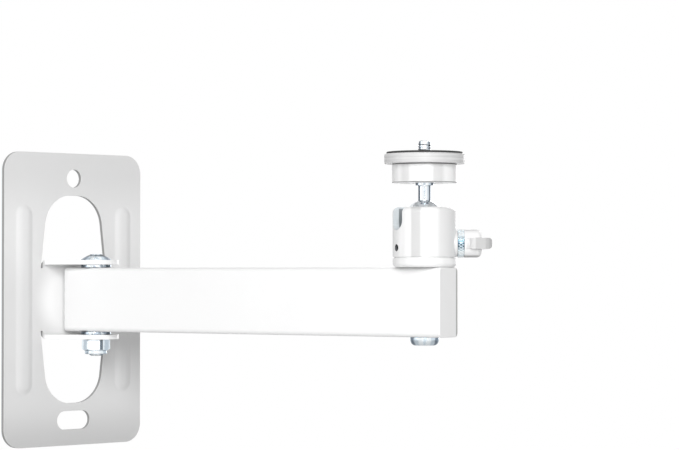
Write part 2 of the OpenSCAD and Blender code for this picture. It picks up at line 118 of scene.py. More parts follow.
world = bpy.data.worlds.new("studio")
world.use_nodes = True
bpy.context.scene.world = world
world_nodes = world.node_tree.nodes
world_links = world.node_tree.links
world_nodes.clear()
sky_fill = world_nodes.new("ShaderNodeBackground")
sky_fill.inputs["Color"].default_value = (1, 1, 1, 1)
sky_fill.inputs["Strength"].default_value = SKY_LIGHT
sky_seen = world_nodes.new("ShaderNodeBackground")
sky_seen.inputs["Color"].default_value = (1, 1, 1, 1)
sky_seen.inputs["Strength"].default_value = 1
sky_mix = world_nodes.new("ShaderNodeMixShader")
sky_out = world_nodes.new("ShaderNodeOutputWorld")
world_links.new(seen_directly(world_nodes, world_links), sky_mix.inputs[0])
world_links.new(sky_fill.outputs[0], sky_mix.inputs[1])
world_links.new(sky_seen.outputs[0], sky_mix.inputs[2])
world_links.new(sky_mix.outputs[0], sky_out.inputs["Surface"])

floor_mesh = bpy.data.meshes.new("floor")
half_floor = FLOOR_SIDE / 2
floor_mesh.from_pydata(
    [(x * half_floor, y * half_floor, FLOOR_Z) for x, y in ((-1, -1), (1, -1), (1, 1), (-1, 1))],
    [],
    [(0, 1, 2, 3)],
)
floor = bpy.data.objects.new("floor", floor_mesh)
bpy.context.scene.collection.objects.link(floor)
floor_paint = bpy.data.materials.new("pale_floor")
floor_paint.use_nodes = True
floor_shader = floor_paint.node_tree.nodes["Principled BSDF"]
floor_shader.inputs["Base Color"].default_value = (FLOOR_TONE, FLOOR_TONE, FLOOR_TONE, 1)
floor_shader.inputs["Roughness"].default_value = 0.9
floor_shader.inputs["Emission Color"].default_value = (1, 1, 1, 1)
floor_path = floor_paint.node_tree.nodes.new("ShaderNodeLightPath")
floor_glow = floor_paint.node_tree.nodes.new("ShaderNodeMath")
floor_glow.operation = "MULTIPLY"
floor_glow.inputs[1].default_value = FLOOR_SEEN
floor_paint.node_tree.links.new(floor_path.outputs["Is Camera Ray"], floor_glow.inputs[0])
floor_paint.node_tree.links.new(floor_glow.outputs[0], floor_shader.inputs["Emission Strength"])
floor_mesh.materials.append(floor_paint)

bpy.context.scene.view_settings.view_transform = "Standard"

# Wall plate: one piece of 2.4 mm steel sheet. The press cuts the outline, the holes and two
# tongues, raises the two long ribs, and folds the tongues forward into the ears. It is then
# coated with white powder. Its cut edges are painted dark grey as painted shade, with a painted
# highlight along their front, and the ears' cut edges are painted whiter as painted light.
SHEET = 2.4 * MM
PLATE_W = 91 * MM
PLATE_H = 156 * MM
PLATE_CORNER = 10 * MM
BEND_IN = 1.9 * MM
BEND_ROWS = 8
EAR_INNER_Z = 18.5 * MM
WEB_HALF = EAR_INNER_Z - BEND_IN
EAR_HALF = 20.5 * MM
EAR_TIP = 12 * MM
EAR_HOLE = 4.08 * MM
FOLD_ARC = BEND_IN * math.pi / 2
WINDOW_HALF = 22 * MM
WINDOW_ROUND = 17 * MM
WINDOW_ROUND_X = 2.2 * MM
WINDOW_ROUND_Z = 38.5 * MM
HOLE_R = 4.9 * MM
HOLE_Z = PLATE_H / 2 - 13.4 * MM
SLOT_R = 4.95 * MM
SLOT_HALF = 11 * MM - SLOT_R
RIB_X = 33 * MM
RIB_HALF_L = 44.7 * MM
RIB_HALF_W = 5.7 * MM
RIB_RISE = 1.3 * MM
RIB_STEP = 0.6 * MM
COAT_EDGE = 0.6 * MM
EDGE_ANGLE = math.radians(40)


def arc(centre, radius, start, end, steps):
    turns = [math.radians(start + (end - start) * i / steps) for i in range(steps + 1)]
    return [(centre[0] + radius * math.cos(a), centre[1] + radius * math.sin(a)) for a in turns]


def ring(centre, radius, steps):
    return arc(centre, radius, 0, 360 - 360 / steps, steps - 1)


def tangent_angle(point, centre, radius):
    """The angle on a circle at which a straight edge from the point runs into it."""
    away = Vector(point) - Vector(centre)
    return math.degrees(math.acos(radius / away.length) + math.atan2(away.y, away.x))


def rib_height(x, z):
    """How far the sheet stands out at a point, by its distance from a rib's centre line."""
    along = max(0, abs(z) - RIB_HALF_L)
    away = min(1, math.hypot(abs(x) - RIB_X, along) / RIB_HALF_W)
    return RIB_RISE * (1 - away ** 3) ** 2


def fold(point, in_tongue):
    """Takes a point of the flat blank to its place on the sheet's front face."""
    x, z = point
    if not in_tongue:
        return Vector((x, -SHEET - rib_height(x, z), z))
    out = abs(z) - WEB_HALF
    turn = min(out, FOLD_ARC) / BEND_IN
    y = -SHEET - BEND_IN * (1 - math.cos(turn)) - max(0, out - FOLD_ARC)
    return Vector((x, y, math.copysign(WEB_HALF + BEND_IN * math.sin(turn), z)))


def inside(point, loop):
    x, z = point
    hit = False
    for (x1, z1), (x2, z2) in zip(loop, loop[1:] + loop[:1]):
        if (z1 > z) != (z2 > z) and x < (x2 - x1) * (z - z1) / (z2 - z1) + x1:
            hit = not hit
    return hit


blank_points = []
blank_edges = []
in_tongue = []


def cut_blank(points, tongue_flags, closed):
    start = len(blank_points)
    blank_points.extend(points)
    in_tongue.extend(tongue_flags)
    links = range(len(points) if closed else len(points) - 1)
    blank_edges.extend((start + i, start + (i + 1) % len(points)) for i in links)


corner_x = PLATE_W / 2 - PLATE_CORNER
corner_z = PLATE_H / 2 - PLATE_CORNER
outline = []
for sign_x, sign_z, start in ((1, 1, 0), (-1, 1, 90), (-1, -1, 180), (1, -1, 270)):
    outline += arc((sign_x * corner_x, sign_z * corner_z), PLATE_CORNER, start, start + 90, 16)
cut_blank(outline, [False] * len(outline), True)
slot_loop = arc((SLOT_HALF, -HOLE_Z), SLOT_R, -90, 90, 24)
slot_loop += arc((-SLOT_HALF, -HOLE_Z), SLOT_R, 90, 270, 24)
cut_loops = [ring((0, HOLE_Z), HOLE_R, 48), slot_loop]
for loop in cut_loops:
    cut_blank(loop, [False] * len(loop), True)

tip_z = WEB_HALF + FOLD_ARC - pivot_at.y - SHEET - BEND_IN
round_centre = (WINDOW_ROUND_X, WINDOW_ROUND_Z)
round_start = tangent_angle((WINDOW_HALF, WEB_HALF), round_centre, WINDOW_ROUND)
tip_start = tangent_angle((EAR_HALF, WEB_HALF + FOLD_ARC), (0, tip_z), EAR_TIP)
window = [(WINDOW_HALF, WEB_HALF)] + arc(round_centre, WINDOW_ROUND, round_start, 90, 24)
window += [(-x, z) for x, z in reversed(window)] + [(-EAR_HALF, WEB_HALF)]
tongue = arc((0, tip_z), EAR_TIP, 180 - tip_start, tip_start, 36)
for side in (1, -1):
    edge = [(-EAR_HALF, WEB_HALF + FOLD_ARC * row / BEND_ROWS) for row in range(1, BEND_ROWS + 1)]
    edge += tongue + [(-x, z) for x, z in reversed(edge)] + [(EAR_HALF, WEB_HALF)]
    loop = [(x, side * z) for x, z in window + edge]
    cut_blank(loop, [False] * len(window) + [True] * len(edge), True)
    bore = ring((0, side * tip_z), EAR_HOLE, 40)
    cut_blank(bore, [True] * len(bore), True)
    cut_loops += [loop, bore]
    for row in range(BEND_ROWS + 1):
        z = side * (WEB_HALF + FOLD_ARC * row / BEND_ROWS)
        line = [(EAR_HALF * (column / 10 - 1), z) for column in range(21)]
        cut_blank(line, [row > 0] * len(line), False)

rib_half_w = RIB_HALF_W + RIB_STEP
columns = math.ceil(2 * rib_half_w / RIB_STEP)
rows = math.ceil(2 * (RIB_HALF_L + rib_half_w) / RIB_STEP)
for side in (-1, 1):
    for row in range(rows + 1):
        for column in range(columns + 1):
            x = side * RIB_X + rib_half_w * (2 * column / columns - 1)
            blank_points.append((x, (RIB_HALF_L + rib_half_w) * (2 * row / rows - 1)))
            in_tongue.append(False)

flat, _, triangles, sources, _, _ = delaunay_2d_cdt(
    [Vector(point) for point in blank_points], blank_edges, [], 0, 1e-7
)
kept = []
for triangle in triangles:
    middle = sum((flat[i] for i in triangle), Vector((0, 0))) / len(triangle)
    if inside(middle, outline) and not any(inside(middle, loop) for loop in cut_loops):
        kept.append(triangle)
folded = [fold(point, any(in_tongue[i] for i in source)) for point, source in zip(flat, sources)]
plate_mesh = bpy.data.meshes.new("wall_plate_sheet")
plate_mesh.from_pydata(folded, [], kept)
sheet_bm = bmesh.new()
sheet_bm.from_mesh(plate_mesh)
bmesh.ops.remove_doubles(sheet_bm, verts=sheet_bm.verts, dist=1e-6)
loose = [v for v in sheet_bm.verts if not v.link_faces]
bmesh.ops.delete(sheet_bm, geom=loose, context="VERTS")
bmesh.ops.recalc_face_normals(sheet_bm, faces=sheet_bm.faces)
highest = max(sheet_bm.faces, key=lambda face: face.calc_center_median().z)
if highest.normal.y > 0:
    bmesh.ops.reverse_faces(sheet_bm, faces=sheet_bm.faces)
sheet_bm.to_mesh(plate_mesh)
sheet_bm.free()
wall_plate = bpy.data.objects.new("wall_plate_sheet", plate_mesh)
bpy.context.scene.collection.objects.link(wall_plate)
thickness = wall_plate.modifiers.new("thickness", "SOLIDIFY")
thickness.thickness = SHEET
thickness.offset = -1
thickness.use_even_offset = True
thickness.material_offset_rim = 1
coat_edge = wall_plate.modifiers.new("coated_edge", "BEVEL")
coat_edge.width = COAT_EDGE
coat_edge.segments = 3
coat_edge.material = 0
coat_edge.angle_limit = math.radians(60)


def new_group(name, inputs, outputs):
    group = bpy.data.node_groups.new(name, "ShaderNodeTree")
    for label, kind, value in inputs:
        socket = group.interface.new_socket(label, in_out="INPUT", socket_type=kind)
        if value is not None:
            socket.default_value = value
    for label, kind in outputs:
        group.interface.new_socket(label, in_out="OUTPUT", socket_type=kind)
    return group, group.nodes.new("NodeGroupInput").outputs, group.nodes.new("NodeGroupOutput").inputs


def set_or_link(tree, socket, value):
    if isinstance(value, bpy.types.NodeSocket):
        tree.links.new(value, socket)
    else:
        socket.default_value = value


def noise(tree, vector, scale, detail):
    node = tree.nodes.new("ShaderNodeTexNoise")
    node.inputs["Detail"].default_value = detail
    set_or_link(tree, node.inputs["Vector"], vector)
    set_or_link(tree, node.inputs["Scale"], scale)
    return node.outputs["Fac"]


def spread(tree, value, out_low, out_high, in_low=0.0, in_high=1.0):
    node = tree.nodes.new("ShaderNodeMapRange")
    set_or_link(tree, node.inputs["Value"], value)
    node.inputs["From Min"].default_value = in_low
    node.inputs["From Max"].default_value = in_high
    set_or_link(tree, node.inputs["To Min"], out_low)
    set_or_link(tree, node.inputs["To Max"], out_high)
    return node.outputs["Result"]


def blend_colours(tree, factor, first, second):
    node = tree.nodes.new("ShaderNodeMix")
    node.data_type = "RGBA"
    colours = [socket for socket in node.inputs if socket.type == "RGBA"]
    tree.links.new(factor, node.inputs["Factor"])
    set_or_link(tree, colours[0], first)
    set_or_link(tree, colours[1], second)
    return [socket for socket in node.outputs if socket.type == "RGBA"][0]


def add_up(tree, first, factor, second):
    """First times factor plus second."""
    node = tree.nodes.new("ShaderNodeMath")
    node.operation = "MULTIPLY_ADD"
    for socket, value in zip(node.inputs, (first, factor, second)):
        set_or_link(tree, socket, value)
    return node.outputs[0]


def split(tree, vector):
    node = tree.nodes.new("ShaderNodeSeparateXYZ")
    tree.links.new(vector, node.inputs[0])
    return node.outputs


def direction_round_z(tree, spot):
    """The unit vector from the Z axis to the spot, the same all the way up."""
    apart = split(tree, spot)
    level = tree.nodes.new("ShaderNodeCombineXYZ")
    tree.links.new(apart["X"], level.inputs["X"])
    tree.links.new(apart["Y"], level.inputs["Y"])
    unit = tree.nodes.new("ShaderNodeVectorMath")
    unit.operation = "NORMALIZE"
    tree.links.new(level.outputs[0], unit.inputs[0])
    return unit.outputs[0]


SURFACE_OUTPUTS = [
    ("Color", "NodeSocketColor"),
    ("Roughness", "NodeSocketFloat"),
    ("Height", "NodeSocketFloat"),
]


def build_powder_coat():
    """Baked powder: a fine pebbled skin over a slow wave, with hardly any change of tone. On
    turned pieces, where Banded is set, the tone changes instead in soft bands round the Z axis,
    painted reflections of the lamps, in place of the patches."""
    group, given, result = new_group(
        "powder_coat",
        [
            ("Spot", "NodeSocketVector", None),
            ("Tone", "NodeSocketColor", (0.9, 0.9, 0.9, 1)),
            ("Shade", "NodeSocketColor", (0.86, 0.86, 0.86, 1)),
            ("Pebble Scale", "NodeSocketFloat", 1500.0),
            ("Wave Scale", "NodeSocketFloat", 420.0),
            ("Banded", "NodeSocketFloat", 0.0),
            ("Band Scale", "NodeSocketFloat", 2.2),
            ("Smooth", "NodeSocketFloat", 0.32),
            ("Rough", "NodeSocketFloat", 0.44),
        ],
        SURFACE_OUTPUTS,
    )
    pebble = noise(group, given["Spot"], given["Pebble Scale"], 1.0)
    wave = noise(group, given["Spot"], given["Wave Scale"], 1.0)
    patch = noise(group, given["Spot"], 38.0, 3.0)
    band = noise(group, direction_round_z(group, given["Spot"]), given["Band Scale"], 1.0)
    bolder = spread(group, band, 0.0, 1.0, 0.38, 0.62)
    change = add_up(group, patch, -1.0, bolder)
    tone = add_up(group, change, given["Banded"], patch)
    group.links.new(blend_colours(group, tone, given["Tone"], given["Shade"]), result["Color"])
    group.links.new(spread(group, pebble, given["Smooth"], given["Rough"]), result["Roughness"])
    group.links.new(add_up(group, wave, 1.6, pebble), result["Height"])
    return group


def both(tree, first, second):
    return add_up(tree, first, second, 0.0)


def distance_from_z(tree, spot):
    apart = split(tree, spot)
    level = tree.nodes.new("ShaderNodeCombineXYZ")
    tree.links.new(apart["X"], level.inputs["X"])
    tree.links.new(apart["Y"], level.inputs["Y"])
    length = tree.nodes.new("ShaderNodeVectorMath")
    length.operation = "LENGTH"
    tree.links.new(level.outputs[0], length.inputs[0])
    return length.outputs["Value"]


def surface_material(name, group, values, metallic, relief, place=None):
    """A material whose colour, roughness and relief come from one of the surface groups. A
    place gives the piece's own middle and axes to the pattern."""
    material = bpy.data.materials.new(name)
    material.use_nodes = True
    tree = material.node_tree
    shader = tree.nodes["Principled BSDF"]
    spot = tree.nodes.new("ShaderNodeTexCoord").outputs["Object"]
    if place is not None:
        own_axes = tree.nodes.new("ShaderNodeMapping")
        own_axes.vector_type = "TEXTURE"
        own_axes.inputs["Location"].default_value = place.to_translation()
        own_axes.inputs["Rotation"].default_value = place.to_euler()
        tree.links.new(spot, own_axes.inputs["Vector"])
        spot = own_axes.outputs["Vector"]
    surface = tree.nodes.new("ShaderNodeGroup")
    surface.node_tree = group
    tree.links.new(spot, surface.inputs["Spot"])
    for label, value in values.items():
        surface.inputs[label].default_value = value
    tree.links.new(surface.outputs["Color"], shader.inputs["Base Color"])
    tree.links.new(surface.outputs["Roughness"], shader.inputs["Roughness"])
    bump = tree.nodes.new("ShaderNodeBump")
    bump.inputs["Distance"].default_value = relief
    tree.links.new(surface.outputs["Height"], bump.inputs["Height"])
    tree.links.new(bump.outputs["Normal"], shader.inputs["Normal"])
    shader.inputs["Metallic"].default_value = metallic
    return material


def tint_where(material, mask, colour):
    """Changes a finished material's colour where the mask is one."""
    tree = material.node_tree
    base = tree.nodes["Principled BSDF"].inputs["Base Color"]
    tree.links.new(blend_colours(tree, mask, base.links[0].from_socket, colour), base)


def own_spot(material):
    """The spot that a finished material's pattern reads: x, y and z, from the piece's middle
    and along its own axes where the material was given a place."""
    nodes = material.node_tree.nodes
    node = nodes["Mapping"] if "Mapping" in nodes else nodes["Texture Coordinate"]
    return node.outputs["Vector" if "Mapping" in nodes else "Object"]


def grey(level):
    return (level, level, level, 1)


def ease(tree, value, low, high, out_low=0.0, out_high=1.0):
    """One value below the low limit, another above the high one, and a soft step between."""
    node = tree.nodes.new("ShaderNodeMapRange")
    node.interpolation_type = "SMOOTHSTEP"
    set_or_link(tree, node.inputs["Value"], value)
    set_or_link(tree, node.inputs["From Min"], low)
    set_or_link(tree, node.inputs["From Max"], high)
    node.inputs["To Min"].default_value = out_low
    node.inputs["To Max"].default_value = out_high
    return node.outputs["Result"]


powder_coat = build_powder_coat()
PLATE_TONE = {"Tone": grey(0.83), "Shade": grey(0.8)}
# Dark grey painted shade for the plate's cut edges, and a whiter tone, painted light, for the ears' cut edges.
EDGE_TONE = {"Tone": grey(0.38), "Shade": grey(0.3)}
EAR_TONE = {"Tone": grey(0.95), "Shade": grey(0.93)}
# Grey painted shade for the plate's coat.
PAINTED_SHADE_TONE = grey(0.55)
plate_coats = {}
for label, tone in (("plate", PLATE_TONE), ("plate_edge", EDGE_TONE), ("ear_edge", EAR_TONE)):
    plate_coats[label] = surface_material(label + "_powder", powder_coat, tone, 0, 0.012 * MM)
    plate_mesh.materials.append(plate_coats[label])
plate_tree = plate_coats["plate"].node_tree
plate_spot = split(plate_tree, own_spot(plate_coats["plate"]))
plate_height = plate_spot["Z"]
# Painted shade: the plate is greyed towards its bottom edge, over its lower half and towards its top.
greyer = ease(plate_tree, plate_height, -80 * MM, -52 * MM, 0.6, 0.0)
greyer = add_up(plate_tree, ease(plate_tree, plate_height, 0.0, 35 * MM, 0.36, 0.0), 1.0, greyer)
greyer = add_up(plate_tree, ease(plate_tree, plate_height, 40 * MM, 70 * MM, 0.0, 0.32), 1.0, greyer)
tint_where(plate_coats["plate"], greyer, PAINTED_SHADE_TONE)
off_middle = plate_tree.nodes.new("ShaderNodeCombineXYZ")
plate_tree.links.new(plate_spot["X"], off_middle.inputs["X"])
plate_tree.links.new(plate_height, off_middle.inputs["Y"])
middle_reach = distance_from_z(plate_tree, off_middle.outputs[0])
# Painted light: the plate's front face is whitened round its middle, between the ears, where light glows back from
# the arm.
painted_glow = ease(plate_tree, middle_reach, 14 * MM, 28 * MM, 0.9, 0.0)
front_face = ease(plate_tree, plate_spot["Y"], -2 * MM, -1 * MM, 1.0, 0.0)
tint_where(plate_coats["plate"], both(plate_tree, painted_glow, front_face), grey(1.0))
# Painted highlight: the front of each cut edge takes the plate's own tone.
edge_tree = plate_coats["plate_edge"].node_tree
edge_depth = split(edge_tree, own_spot(plate_coats["plate_edge"]))["Y"]
front_half = ease(edge_tree, edge_depth, -2.1 * MM, -1.7 * MM, 1.0, 0.0)
tint_where(plate_coats["plate_edge"], front_half, PLATE_TONE["Tone"])


def settle(piece):
    """Turns a piece with live modifiers into a plain mesh."""
    graph = bpy.context.evaluated_depsgraph_get()
    piece.data = bpy.data.meshes.new_from_object(piece.evaluated_get(graph))
    piece.modifiers.clear()


def smooth_faces(piece, angle=EDGE_ANGLE):
    piece.data.shade_smooth()
    piece.data.set_sharp_from_angle(angle=angle)
    weights = piece.modifiers.new("flat_faces", "WEIGHTED_NORMAL")
    weights.keep_sharp = True


bpy.context.view_layer.update()
settle(wall_plate)
# The ears' cut edges take the third, whiter coat: painted light.
for face in wall_plate.data.polygons:
    if face.material_index == 1 and face.center.y < -SHEET - RIB_RISE:
        face.material_index = 2
for vertex in wall_plate.data.vertices:
    vertex.co.y = min(vertex.co.y, 0)
smooth_faces(wall_plate)
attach(wall_plate, "wall_bracket")
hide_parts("wall_plate")

# Pivot bolt: an M8 steel bolt with a pressed dome and a hexagon socket, zinc plated. It drops
# through both ears from above and the arm turns on its shank. Its threaded end stands out below.
BOLT_R = 4 * MM
DOME_R = 8.1 * MM
DOME_H = 3.2 * MM
SOCKET_HALF = 2.5 * MM
SOCKET_DEEP = 2 * MM
EAR_OUTER_Z = EAR_INNER_Z + SHEET
NUT_H = 6 * MM
NUT_TOP = 7.9 * MM
BOLT_END_Z = -EAR_OUTER_Z - NUT_TOP - 0.9 * MM
THREAD_PITCH = 1.25 * MM
THREAD_DEEP = 0.4 * MM
TURNS = 72
# Rows of the dome round the socket that are painted dark as painted shade.
PAINTED_SHADE_ROWS = (3, 4, 5, 6)


def build_bright_metal():
    """Plated or polished turned metal. Dark and bright bands, painted reflections of what such metal
    mirrors, run along the Z axis, three of each round it, and the first bright one is split by a
    fine line."""
    group, given, result = new_group(
        "bright_metal",
        [
            ("Spot", "NodeSocketVector", None),
            ("Bright", "NodeSocketColor", (0.9, 0.95, 0.98, 1)),
            ("Mid", "NodeSocketColor", (0.66, 0.75, 0.82, 1)),
            ("Dark", "NodeSocketColor", (0.2, 0.25, 0.31, 1)),
            ("Cloud", "NodeSocketFloat", 0.5),
            ("Cloud Scale", "NodeSocketFloat", 420.0),
            ("Dark Width", "NodeSocketFloat", 0.45),
            ("Smooth", "NodeSocketFloat", 0.14),
            ("Rough", "NodeSocketFloat", 0.3),
        ],
        SURFACE_OUTPUTS,
    )
    cosine = split(group, direction_round_z(group, given["Spot"]))["X"]
    square = add_up(group, cosine, cosine, 0.0)
    cosine_of_three = add_up(group, cosine, add_up(group, square, 4.0, -3.0), 0.0)
    cloud = noise(group, given["Spot"], given["Cloud Scale"], 2.0)
    wander = add_up(group, add_up(group, cloud, 1.0, -0.5), given["Cloud"], 0.5)
    band = add_up(group, cosine_of_three, 0.5, wander)
    lighter = ease(group, band, 0.02, given["Dark Width"])
    shade = blend_colours(group, lighter, given["Dark"], given["Mid"])
    shade = blend_colours(group, ease(group, band, 0.5, 0.72), shade, given["Bright"])
    shade = blend_colours(group, ease(group, band, 0.95, 1.0), shade, given["Mid"])
    group.links.new(shade, result["Color"])
    group.links.new(spread(group, cloud, given["Smooth"], given["Rough"]), result["Roughness"])
    flatten = group.nodes.new("ShaderNodeVectorMath")
    flatten.operation = "MULTIPLY"
    flatten.inputs[1].default_value = (0.05, 0.05, 1)
    group.links.new(given["Spot"], flatten.inputs[0])
    group.links.new(noise(group, flatten.outputs[0], 5200.0, 1.0), result["Height"])
    return group


def axes_at(at, turn):
    """A place with Z upwards whose X points a number of degrees round from the world's X."""
    return Matrix.Translation(at) @ Matrix.Rotation(math.radians(turn), 4, "Z")


PIVOT_BRIGHT_TURN = -128
bright_metal = build_bright_metal()
pivot_axes = axes_at(pivot_at, PIVOT_BRIGHT_TURN)
pivot_zinc = surface_material("pivot_zinc", bright_metal, {}, 1, 0.004 * MM, pivot_axes)


def fillet(profile, steps=5):
    """Rounds the corners of a profile of (radius, height, corner radius) points."""
    points = []
    for i, (r, z, soft) in enumerate(profile):
        here = Vector((r, z))
        if soft <= 0 or i in (0, len(profile) - 1):
            points.append((r, z))
            continue
        before = Vector(profile[i - 1][:2]) - here
        after = Vector(profile[i + 1][:2]) - here
        half_turn = before.angle(after) / 2
        reach = min(soft / math.tan(half_turn), before.length * 0.49, after.length * 0.49)
        soft = reach * math.tan(half_turn)
        middle = (before.normalized() + after.normalized()).normalized()
        centre = here + middle * soft / math.sin(half_turn)
        first = here + before.normalized() * reach - centre
        sweep = first.angle_signed(here + after.normalized() * reach - centre)
        for k in range(steps + 1):
            points.append(tuple(centre + Matrix.Rotation(-sweep * k / steps, 2) @ first))
    return points


def hexagon(half):
    """The reach of a hexagon, half of it across its flats, by the angle round its middle."""
    return lambda turn: half / math.cos((turn + math.pi / 6) % (math.pi / 3) - math.pi / 6)


def turn_loops(levels):
    """Loops of points about Z. A level is a reach, which may be a function, and a height."""
    loops = []
    for reach, height in levels:
        loop = []
        for k in range(TURNS):
            turn = 2 * math.pi * k / TURNS
            r = reach(turn) if callable(reach) else reach
            z = height(r) if callable(height) else height
            loop.append((r * math.cos(turn), r * math.sin(turn), z))
        loops.append(loop)
    return loops


def edge_rows(profile, steps=5):
    """The rows of a filleted profile that lie in its rounded corners."""
    rows = []
    row = 0
    for i, (_, _, soft) in enumerate(profile):
        rounded = soft > 0 and 0 < i < len(profile) - 1
        rows += range(row, row + steps) if rounded else []
        row += steps + 1 if rounded else 1
    return rows


def skin(name, loops, place, materials, closed=False, angle=EDGE_ANGLE, edges=()):
    """Joins each loop of points to the next. A closed skin is a ring, any other is capped. The
    rows of faces that are named as edges take the second material."""
    bm = bmesh.new()
    rings = [[bm.verts.new(point) for point in loop] for loop in loops]
    count = len(rings[0])
    for row, (low, high) in enumerate(zip(rings, rings[1:] + (rings[:1] if closed else []))):
        for k in range(count):
            face = bm.faces.new((low[k], low[(k + 1) % count], high[(k + 1) % count], high[k]))
            face.material_index = 1 if row in edges else 0
    if not closed:
        bm.faces.new(rings[0])
        bm.faces.new(rings[-1])
    bmesh.ops.remove_doubles(bm, verts=bm.verts, dist=1e-7)
    bmesh.ops.recalc_face_normals(bm, faces=bm.faces)
    mesh = bpy.data.meshes.new(name)
    bm.to_mesh(mesh)
    bm.free()
    mesh.transform(place)
    for material in materials:
        mesh.materials.append(material)
    piece = bpy.data.objects.new(name, mesh)
    bpy.context.scene.collection.objects.link(piece)
    smooth_faces(piece, angle)
    return piece


def fit_piece(piece, body, node):
    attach(piece, body)
    if node:
        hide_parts(node)


def build_thread_tree():
    """A helical ridge: a small round section swept along a spiral."""
    tree = bpy.data.node_groups.new("thread", "GeometryNodeTree")
    for label in ("Radius", "Turns", "Length", "Depth"):
        tree.interface.new_socket(label, in_out="INPUT", socket_type="NodeSocketFloat")
    tree.interface.new_socket("Material", in_out="INPUT", socket_type="NodeSocketMaterial")
    tree.interface.new_socket("Geometry", in_out="OUTPUT", socket_type="NodeSocketGeometry")
    given = tree.nodes.new("NodeGroupInput").outputs
    spiral = tree.nodes.new("GeometryNodeCurveSpiral")
    spiral.inputs["Resolution"].default_value = 40
    tree.links.new(given["Turns"], spiral.inputs["Rotations"])
    tree.links.new(given["Radius"], spiral.inputs["Start Radius"])
    tree.links.new(given["Radius"], spiral.inputs["End Radius"])
    tree.links.new(given["Length"], spiral.inputs["Height"])
    section = tree.nodes.new("GeometryNodeCurvePrimitiveCircle")
    section.inputs["Resolution"].default_value = 6
    tree.links.new(given["Depth"], section.inputs["Radius"])
    sweep = tree.nodes.new("GeometryNodeCurveToMesh")
    sweep.inputs["Fill Caps"].default_value = True
    tree.links.new(spiral.outputs["Curve"], sweep.inputs["Curve"])
    tree.links.new(section.outputs["Curve"], sweep.inputs["Profile Curve"])
    end_tree(tree, sweep.outputs["Mesh"], given["Material"])
    return tree


def end_tree(tree, geometry, material):
    realize = tree.nodes.new("GeometryNodeRealizeInstances")
    tree.links.new(geometry, realize.inputs["Geometry"])
    paint = tree.nodes.new("GeometryNodeSetMaterial")
    tree.links.new(realize.outputs["Geometry"], paint.inputs["Geometry"])
    tree.links.new(material, paint.inputs["Material"])
    leave = tree.nodes.new("NodeGroupOutput")
    tree.links.new(paint.outputs["Geometry"], leave.inputs["Geometry"])


def grow(name, tree, values, place):
    """Runs a geometry tree with the given inputs and keeps its result as a plain mesh."""
    piece = bpy.data.objects.new(name, bpy.data.meshes.new(name))
    bpy.context.scene.collection.objects.link(piece)
    modifier = piece.modifiers.new("tree", "NODES")
    modifier.node_group = tree
    inputs = [item for item in tree.interface.items_tree if item.in_out == "INPUT"]
    for item in inputs:
        modifier[item.identifier] = values[item.name]
    bpy.context.view_layer.update()
    settle(piece)
    piece.data.transform(place)
    smooth_faces(piece)
    return piece


thread_tree = build_thread_tree()


def add_thread(name, radius, pitch, length, place, material):
    values = {"Radius": radius - THREAD_DEEP, "Turns": length / pitch, "Length": length}
    values.update({"Depth": THREAD_DEEP, "Material": material})
    return grow(name, thread_tree, values, place)


pivot_place = Matrix.Translation(pivot_at)
dome_top = EAR_OUTER_Z + DOME_H
dome_sphere = (DOME_H ** 2 + DOME_R ** 2) / (2 * DOME_H)
socket = hexagon(SOCKET_HALF)
bolt_levels = [(socket, dome_top - SOCKET_DEEP), (socket, dome_top - 0.35 * MM)]
bolt_levels.append((lambda turn: socket(turn) + 0.25 * MM, dome_top - 0.12 * MM))
for step in range(10):
    across = 3.4 * MM + (DOME_R - 3.7 * MM) * step / 9
    bolt_levels.append((across, dome_top - dome_sphere + math.sqrt(dome_sphere ** 2 - across ** 2)))
bolt_levels += fillet(
    [
        (DOME_R - 0.25 * MM, EAR_OUTER_Z + 0.4 * MM, 0),
        (DOME_R, EAR_OUTER_Z + 0.25 * MM, 0.1 * MM),
        (DOME_R - 0.1 * MM, EAR_OUTER_Z, 0),
        (BOLT_R, EAR_OUTER_Z, 0),
        (BOLT_R, -EAR_OUTER_Z - NUT_H, 0),
        (BOLT_R - 1.1 * THREAD_DEEP, -EAR_OUTER_Z - NUT_H, 0),
        (BOLT_R - 1.1 * THREAD_DEEP, BOLT_END_Z + 0.5 * MM, 0.2 * MM),
        (BOLT_R - 1.4 * MM, BOLT_END_Z, 0),
    ]
)
# Painted shade: those rows take a dark copy of the zinc.
SHADOW_TONE = {"Bright": (0.3, 0.35, 0.4, 1), "Mid": (0.1, 0.13, 0.16, 1), "Dark": (0.04, 0.05, 0.06, 1)}
painted_shade_zinc = surface_material("pivot_zinc_painted_shade", bright_metal, SHADOW_TONE, 1, 0.004 * MM, pivot_axes)
bolt_loops = turn_loops(bolt_levels)
bolt_zincs = [pivot_zinc, painted_shade_zinc]
pivot_bolt = skin("pivot_bolt_domed", bolt_loops, pivot_place, bolt_zincs, edges=PAINTED_SHADE_ROWS)
fit_piece(pivot_bolt, "wall_bracket", "pivot_bolt")
tail_place = pivot_place @ Matrix.Translation((0, 0, BOLT_END_Z + THREAD_DEEP))
bolt_thread = add_thread("pivot_bolt_thread", BOLT_R, THREAD_PITCH, 2.2 * MM, tail_place, pivot_zinc)
fit_piece(bolt_thread, "wall_bracket", None)

